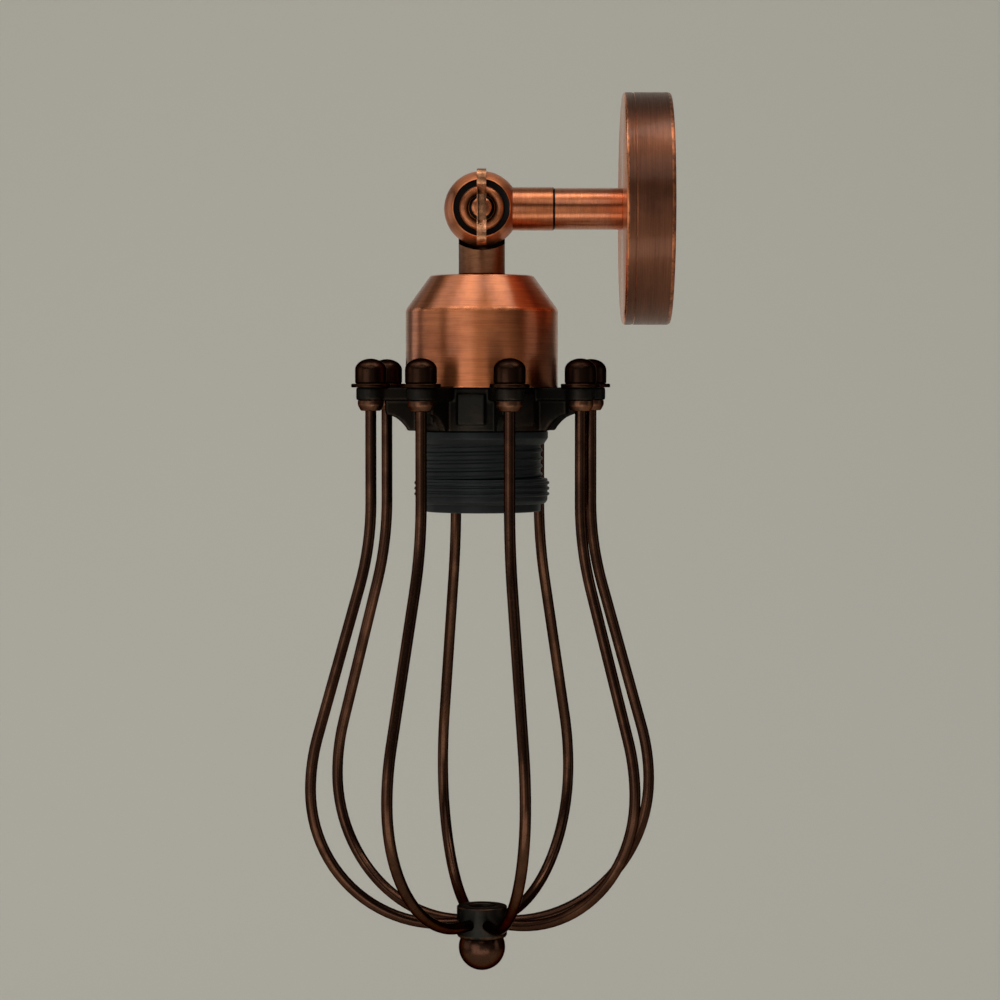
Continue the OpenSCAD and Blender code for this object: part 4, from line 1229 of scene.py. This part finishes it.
class LIGHT_OT_fittings(Step, bpy.types.Operator):
    """Break the edges of the small fittings and finish the hidden parts"""
    bl_idname = "light.fittings"
    bl_label = "Fittings"

    # CAD nodes whose edges are broken: the piece's name, finish, slot and edge width in mm.
    SOFTENED = {
        "wall_bracket": ("wall_strap", "steel", "steel", 0.25),
        "terminal_block": ("terminal_strip", "white_plastic", "white_plastic", 0.25),
        "terminal_screws": ("terminal_strip_screws", "steel", "steel", 0.12),
        "earth_screw": ("earth_terminal", "brass_wall", "brass", 0.2),
        "rose_screws": ("rose_side_screws", "copper_rose", "dark_copper", 0.12),
        "arm_locknut": ("arm_hexagon_nut", "brass_wall", "brass", 0.25),
        "arm_washer": ("arm_flat_washer", "steel", "steel", 0.12),
        "knuckle_nut": ("knuckle_hexagon_nut", "steel", "steel", 0.2),
        "ceramic_insert": ("ceramic_body", "ceramic", "ceramic", 0.3),
        "contact_screws": ("holder_screws", "brass", "brass", 0.12),
        "centre_contact": ("contact_tongue", "brass", "brass", 0.12),
        "hub_nut": ("hub_hexagon_nut", "steel", "steel", 0.2),
    }
    # CAD nodes that stay as they are, with their finish and slot.
    PLAIN = {
        "friction_washer": ("fibre", "fibre"),
        "arm_nipple": ("brass_wall", "brass"),
        "head_nipple": ("brass", "brass"),
        "head_washer": ("steel", "steel"),
        "head_locknut": ("brass", "brass"),
        "holder_dome": ("black_plastic", "black_plastic"),
    }

    def execute(self, context):
        for node, (name, material, slot, width) in self.SOFTENED.items():
            piece = finished(name, broken_edges(tidy_copy(node), width * MM))
            install(piece, material, slot, node)
        for node, (material, slot) in self.PLAIN.items():
            piece = frame["nodes"][node]
            piece.data.materials.clear()
            piece.data.materials.append(finish(material))
        return {"FINISHED"}


# ---- Stage -----------------------------------------------------------------------------

class LIGHT_OT_stage(Step, bpy.types.Operator):
    """Set the camera, the lamps, the floor and the backdrop"""
    bl_idname = "light.stage"
    bl_label = "Stage"

    # Each lamp's place, the point it faces, its width and height, and its power.
    LAMPS = {
        "key_softbox": ((-0.75, -0.75, 1.05), (-0.06, 0, -0.05), (0.9, 0.8), 2.0),
        "top_left_softbox": ((-0.36, -0.28, 1.2), (-0.06, 0, -0.05), (0.6, 0.56), 2.6),
        "far_left_softbox": ((-1.0, 0.05, 1.1), (-0.06, 0, -0.05), (0.6, 0.7), 1.5),
        "top_right_softbox": ((0.45, -0.26, 1.15), (-0.06, 0, -0.05), (0.6, 0.88), 4.0),
        "high_front_softbox": ((0.05, -1.1, 0.85), (-0.06, 0, 0), (0.9, 0.6), 1.6),
        "side_softbox": ((-1.3, -0.15, -0.05), (-0.06, 0, -0.1), (0.8, 1.1), 1.2),
        "rim_softbox": ((-1.1, 0.62, -0.05), (-0.06, 0, -0.1), (0.35, 1.2), 0.8),
        "front_softbox": ((-0.86, -1.25, -0.15), (-0.06, 0, -0.12), (1.1, 0.7), 2.6),
        "low_softbox": ((-0.1, -0.4, -0.36), (-0.05, 0, -0.02), (0.7, 0.18), 0.4),
        "right_softbox": ((1.3, -0.25, 0.0), (-0.06, 0, -0.1), (0.5, 1.0), 0.6),
    }

    def execute(self, context):
        scene, stage = context.scene, context.scene.light_stage
        self.camera(scene, stage)
        for name, (place, aim, size, power) in self.LAMPS.items():
            lamp = bpy.data.lights.new(name, "AREA")
            lamp.shape, lamp.size, lamp.size_y, lamp.energy = "RECTANGLE", *size, power
            holder = bpy.data.objects.new(name, lamp)
            holder.visible_camera = False
            holder.location = place
            holder.rotation_euler = (Vector(aim) - Vector(place)).to_track_quat(
                "-Z", "Y").to_euler()
            scene.collection.objects.link(holder)
        self.sweep(stage)
        self.world(scene, stage)
        scene.view_settings.view_transform = "Standard"
        return {"FINISHED"}

    def camera(self, scene, stage):
        data = bpy.data.cameras.new("camera")
        data.sensor_width = SENSOR
        data.lens = SENSOR * stage.distance / stage.picture_height
        data.clip_start = 0.01
        camera = bpy.data.objects.new("camera", data)
        camera.location = (stage.aim_x, -stage.distance, stage.eye_height)
        dip = math.atan2(stage.eye_height - stage.aim_z, stage.distance)
        camera.rotation_euler = Euler((math.pi / 2 - dip, 0, 0))
        scene.collection.objects.link(camera)
        scene.camera = camera

    def sweep(self, stage):
        """Floor that curves up into the backdrop."""
        bm = bmesh.new()
        half, back, height = 3.0, 1.3, stage.floor_height
        corners = [(-half, -2.4, height), (-half, back, height), (-half, back, 2.6)]
        line = [bm.verts.new(c) for c in corners]
        edges = [bm.edges.new(pair) for pair in zip(line, line[1:])]
        grown = bmesh.ops.extrude_edge_only(bm, edges=edges)["geom"]
        bmesh.ops.translate(bm, verts=only(BMVert, grown), vec=(2 * half, 0, 0))
        bend = [e for e in bm.edges if all(
            abs(v.co.y - back) < 1e-6 and abs(v.co.z - height) < 1e-6 for v in e.verts)]
        bmesh.ops.bevel(bm, geom=bend, offset=0.7, offset_type="OFFSET", segments=16,
                        profile=0.5, affect="EDGES", material=-1)
        piece = finished("backdrop_sweep", bm)
        material, w, shader, point = new_material("backdrop", None, Roughness=0.9)
        clouds = use_group(w, "Tarnish", point, 1.5)
        tone = stage.backdrop[:]
        body = w.mixed(w.times(clouds["Clouds"], 0.1), tone, toned(tone, 0.95))
        # Seen in reflections, the sweep turns near black towards its sides: a painted dark
        # reflection, as black flags would give.
        aside = w.maths("ABSOLUTE", w.add("ShaderNodeSeparateXYZ", {0: point}).outputs[0])
        glossy = w.add("ShaderNodeLightPath").outputs["Is Glossy Ray"]
        shaded = w.times(glossy, w.spread(aside, 0.4, 1.2, 0.0, 0.8))
        body = w.mixed(shaded, body, (0.02, 0.02, 0.02))
        w.tree.links.new(body, shader.inputs["Base Color"])
        piece.data.materials.append(material)

    def world(self, scene, stage):
        """Even soft light, which polished metal sees as a room that is dark to the sides."""
        world = bpy.data.worlds.new("studio")
        world.use_nodes = True
        scene.world = world
        w = Wiring(world.node_tree)
        background = world.node_tree.nodes["Background"]
        path = w.add("ShaderNodeLightPath").outputs
        direct = w.maths("MAXIMUM", path["Is Camera Ray"], path["Is Transmission Ray"])
        xyz = w.add(
            "ShaderNodeSeparateXYZ", {0: w.add("ShaderNodeTexCoord").outputs["Generated"]}
        ).outputs
        leftward = w.plus(xyz[0], -0.64, w.times(xyz[1], -0.77))
        near = w.spread(leftward, -0.3, 0.7)
        low = w.spread(xyz[2], 0.1, 0.35, 1.0, 0.0)
        high = w.spread(xyz[2], 0.6, 0.85)
        tone = w.times(w.times(near, low), 0.2)
        tone = w.plus(high, 0.2, w.maths("ADD", tone, 0.03))
        room = w.mixed(tone, (0, 0, 0), (1.0, 0.98, 0.95))
        seen = w.mixed(path["Is Glossy Ray"], (0.36, 0.36, 0.36), room)
        shown = w.mixed(direct, seen, stage.backdrop[:])
        w.tree.links.new(shown, background.inputs["Color"])
        background.inputs["Strength"].default_value = 1.0


class LIGHT_PT_panel(bpy.types.Panel):
    """Lists the sizes and the steps of the wall light"""
    bl_idname = "LIGHT_PT_panel"
    bl_label = "Cage Wall Light"
    bl_space_type = "VIEW_3D"
    bl_region_type = "UI"
    bl_category = "Wall Light"

    def draw(self, context):
        layout = self.layout
        for name, _ in SETTINGS:
            settings = getattr(context.scene, name)
            box = layout.box()
            box.label(text=name.replace("light_", "").capitalize())
            for key in settings.__annotations__:
                box.prop(settings, key)
        for step in STEPS:
            layout.operator(step.bl_idname)


SETTINGS = [
    ("light_rose", RoseSizes), ("light_arm", ArmSizes), ("light_knuckle", KnuckleSizes),
    ("light_cup", CupSizes), ("light_holder", HolderSizes), ("light_cage", CageSizes),
    ("light_finishes", Finishes), ("light_stage", StageSettings),
]
STEPS = [
    LIGHT_OT_rose, LIGHT_OT_arm, LIGHT_OT_knuckle, LIGHT_OT_wing_screw, LIGHT_OT_cup,
    LIGHT_OT_lamp_holder, LIGHT_OT_shade_rings, LIGHT_OT_spider, LIGHT_OT_nuts,
    LIGHT_OT_rods, LIGHT_OT_hub, LIGHT_OT_fittings, LIGHT_OT_stage,
]
CLASSES = [kind for _, kind in SETTINGS] + STEPS + [LIGHT_PT_panel]


def register():
    for kind in CLASSES:
        bpy.utils.register_class(kind)
    for name, kind in SETTINGS:
        setattr(bpy.types.Scene, name, PointerProperty(type=kind))


def unregister():
    for name, _ in reversed(SETTINGS):
        delattr(bpy.types.Scene, name)
    for kind in reversed(CLASSES):
        bpy.utils.unregister_class(kind)


def main():
    register()
    for light in [o for o in bpy.context.scene.objects if o.type == "LIGHT"]:
        bpy.data.objects.remove(light)
    for step in STEPS:
        getattr(bpy.ops.light, step.bl_idname.split(".")[1])()


if __name__ == "__main__":
    main()
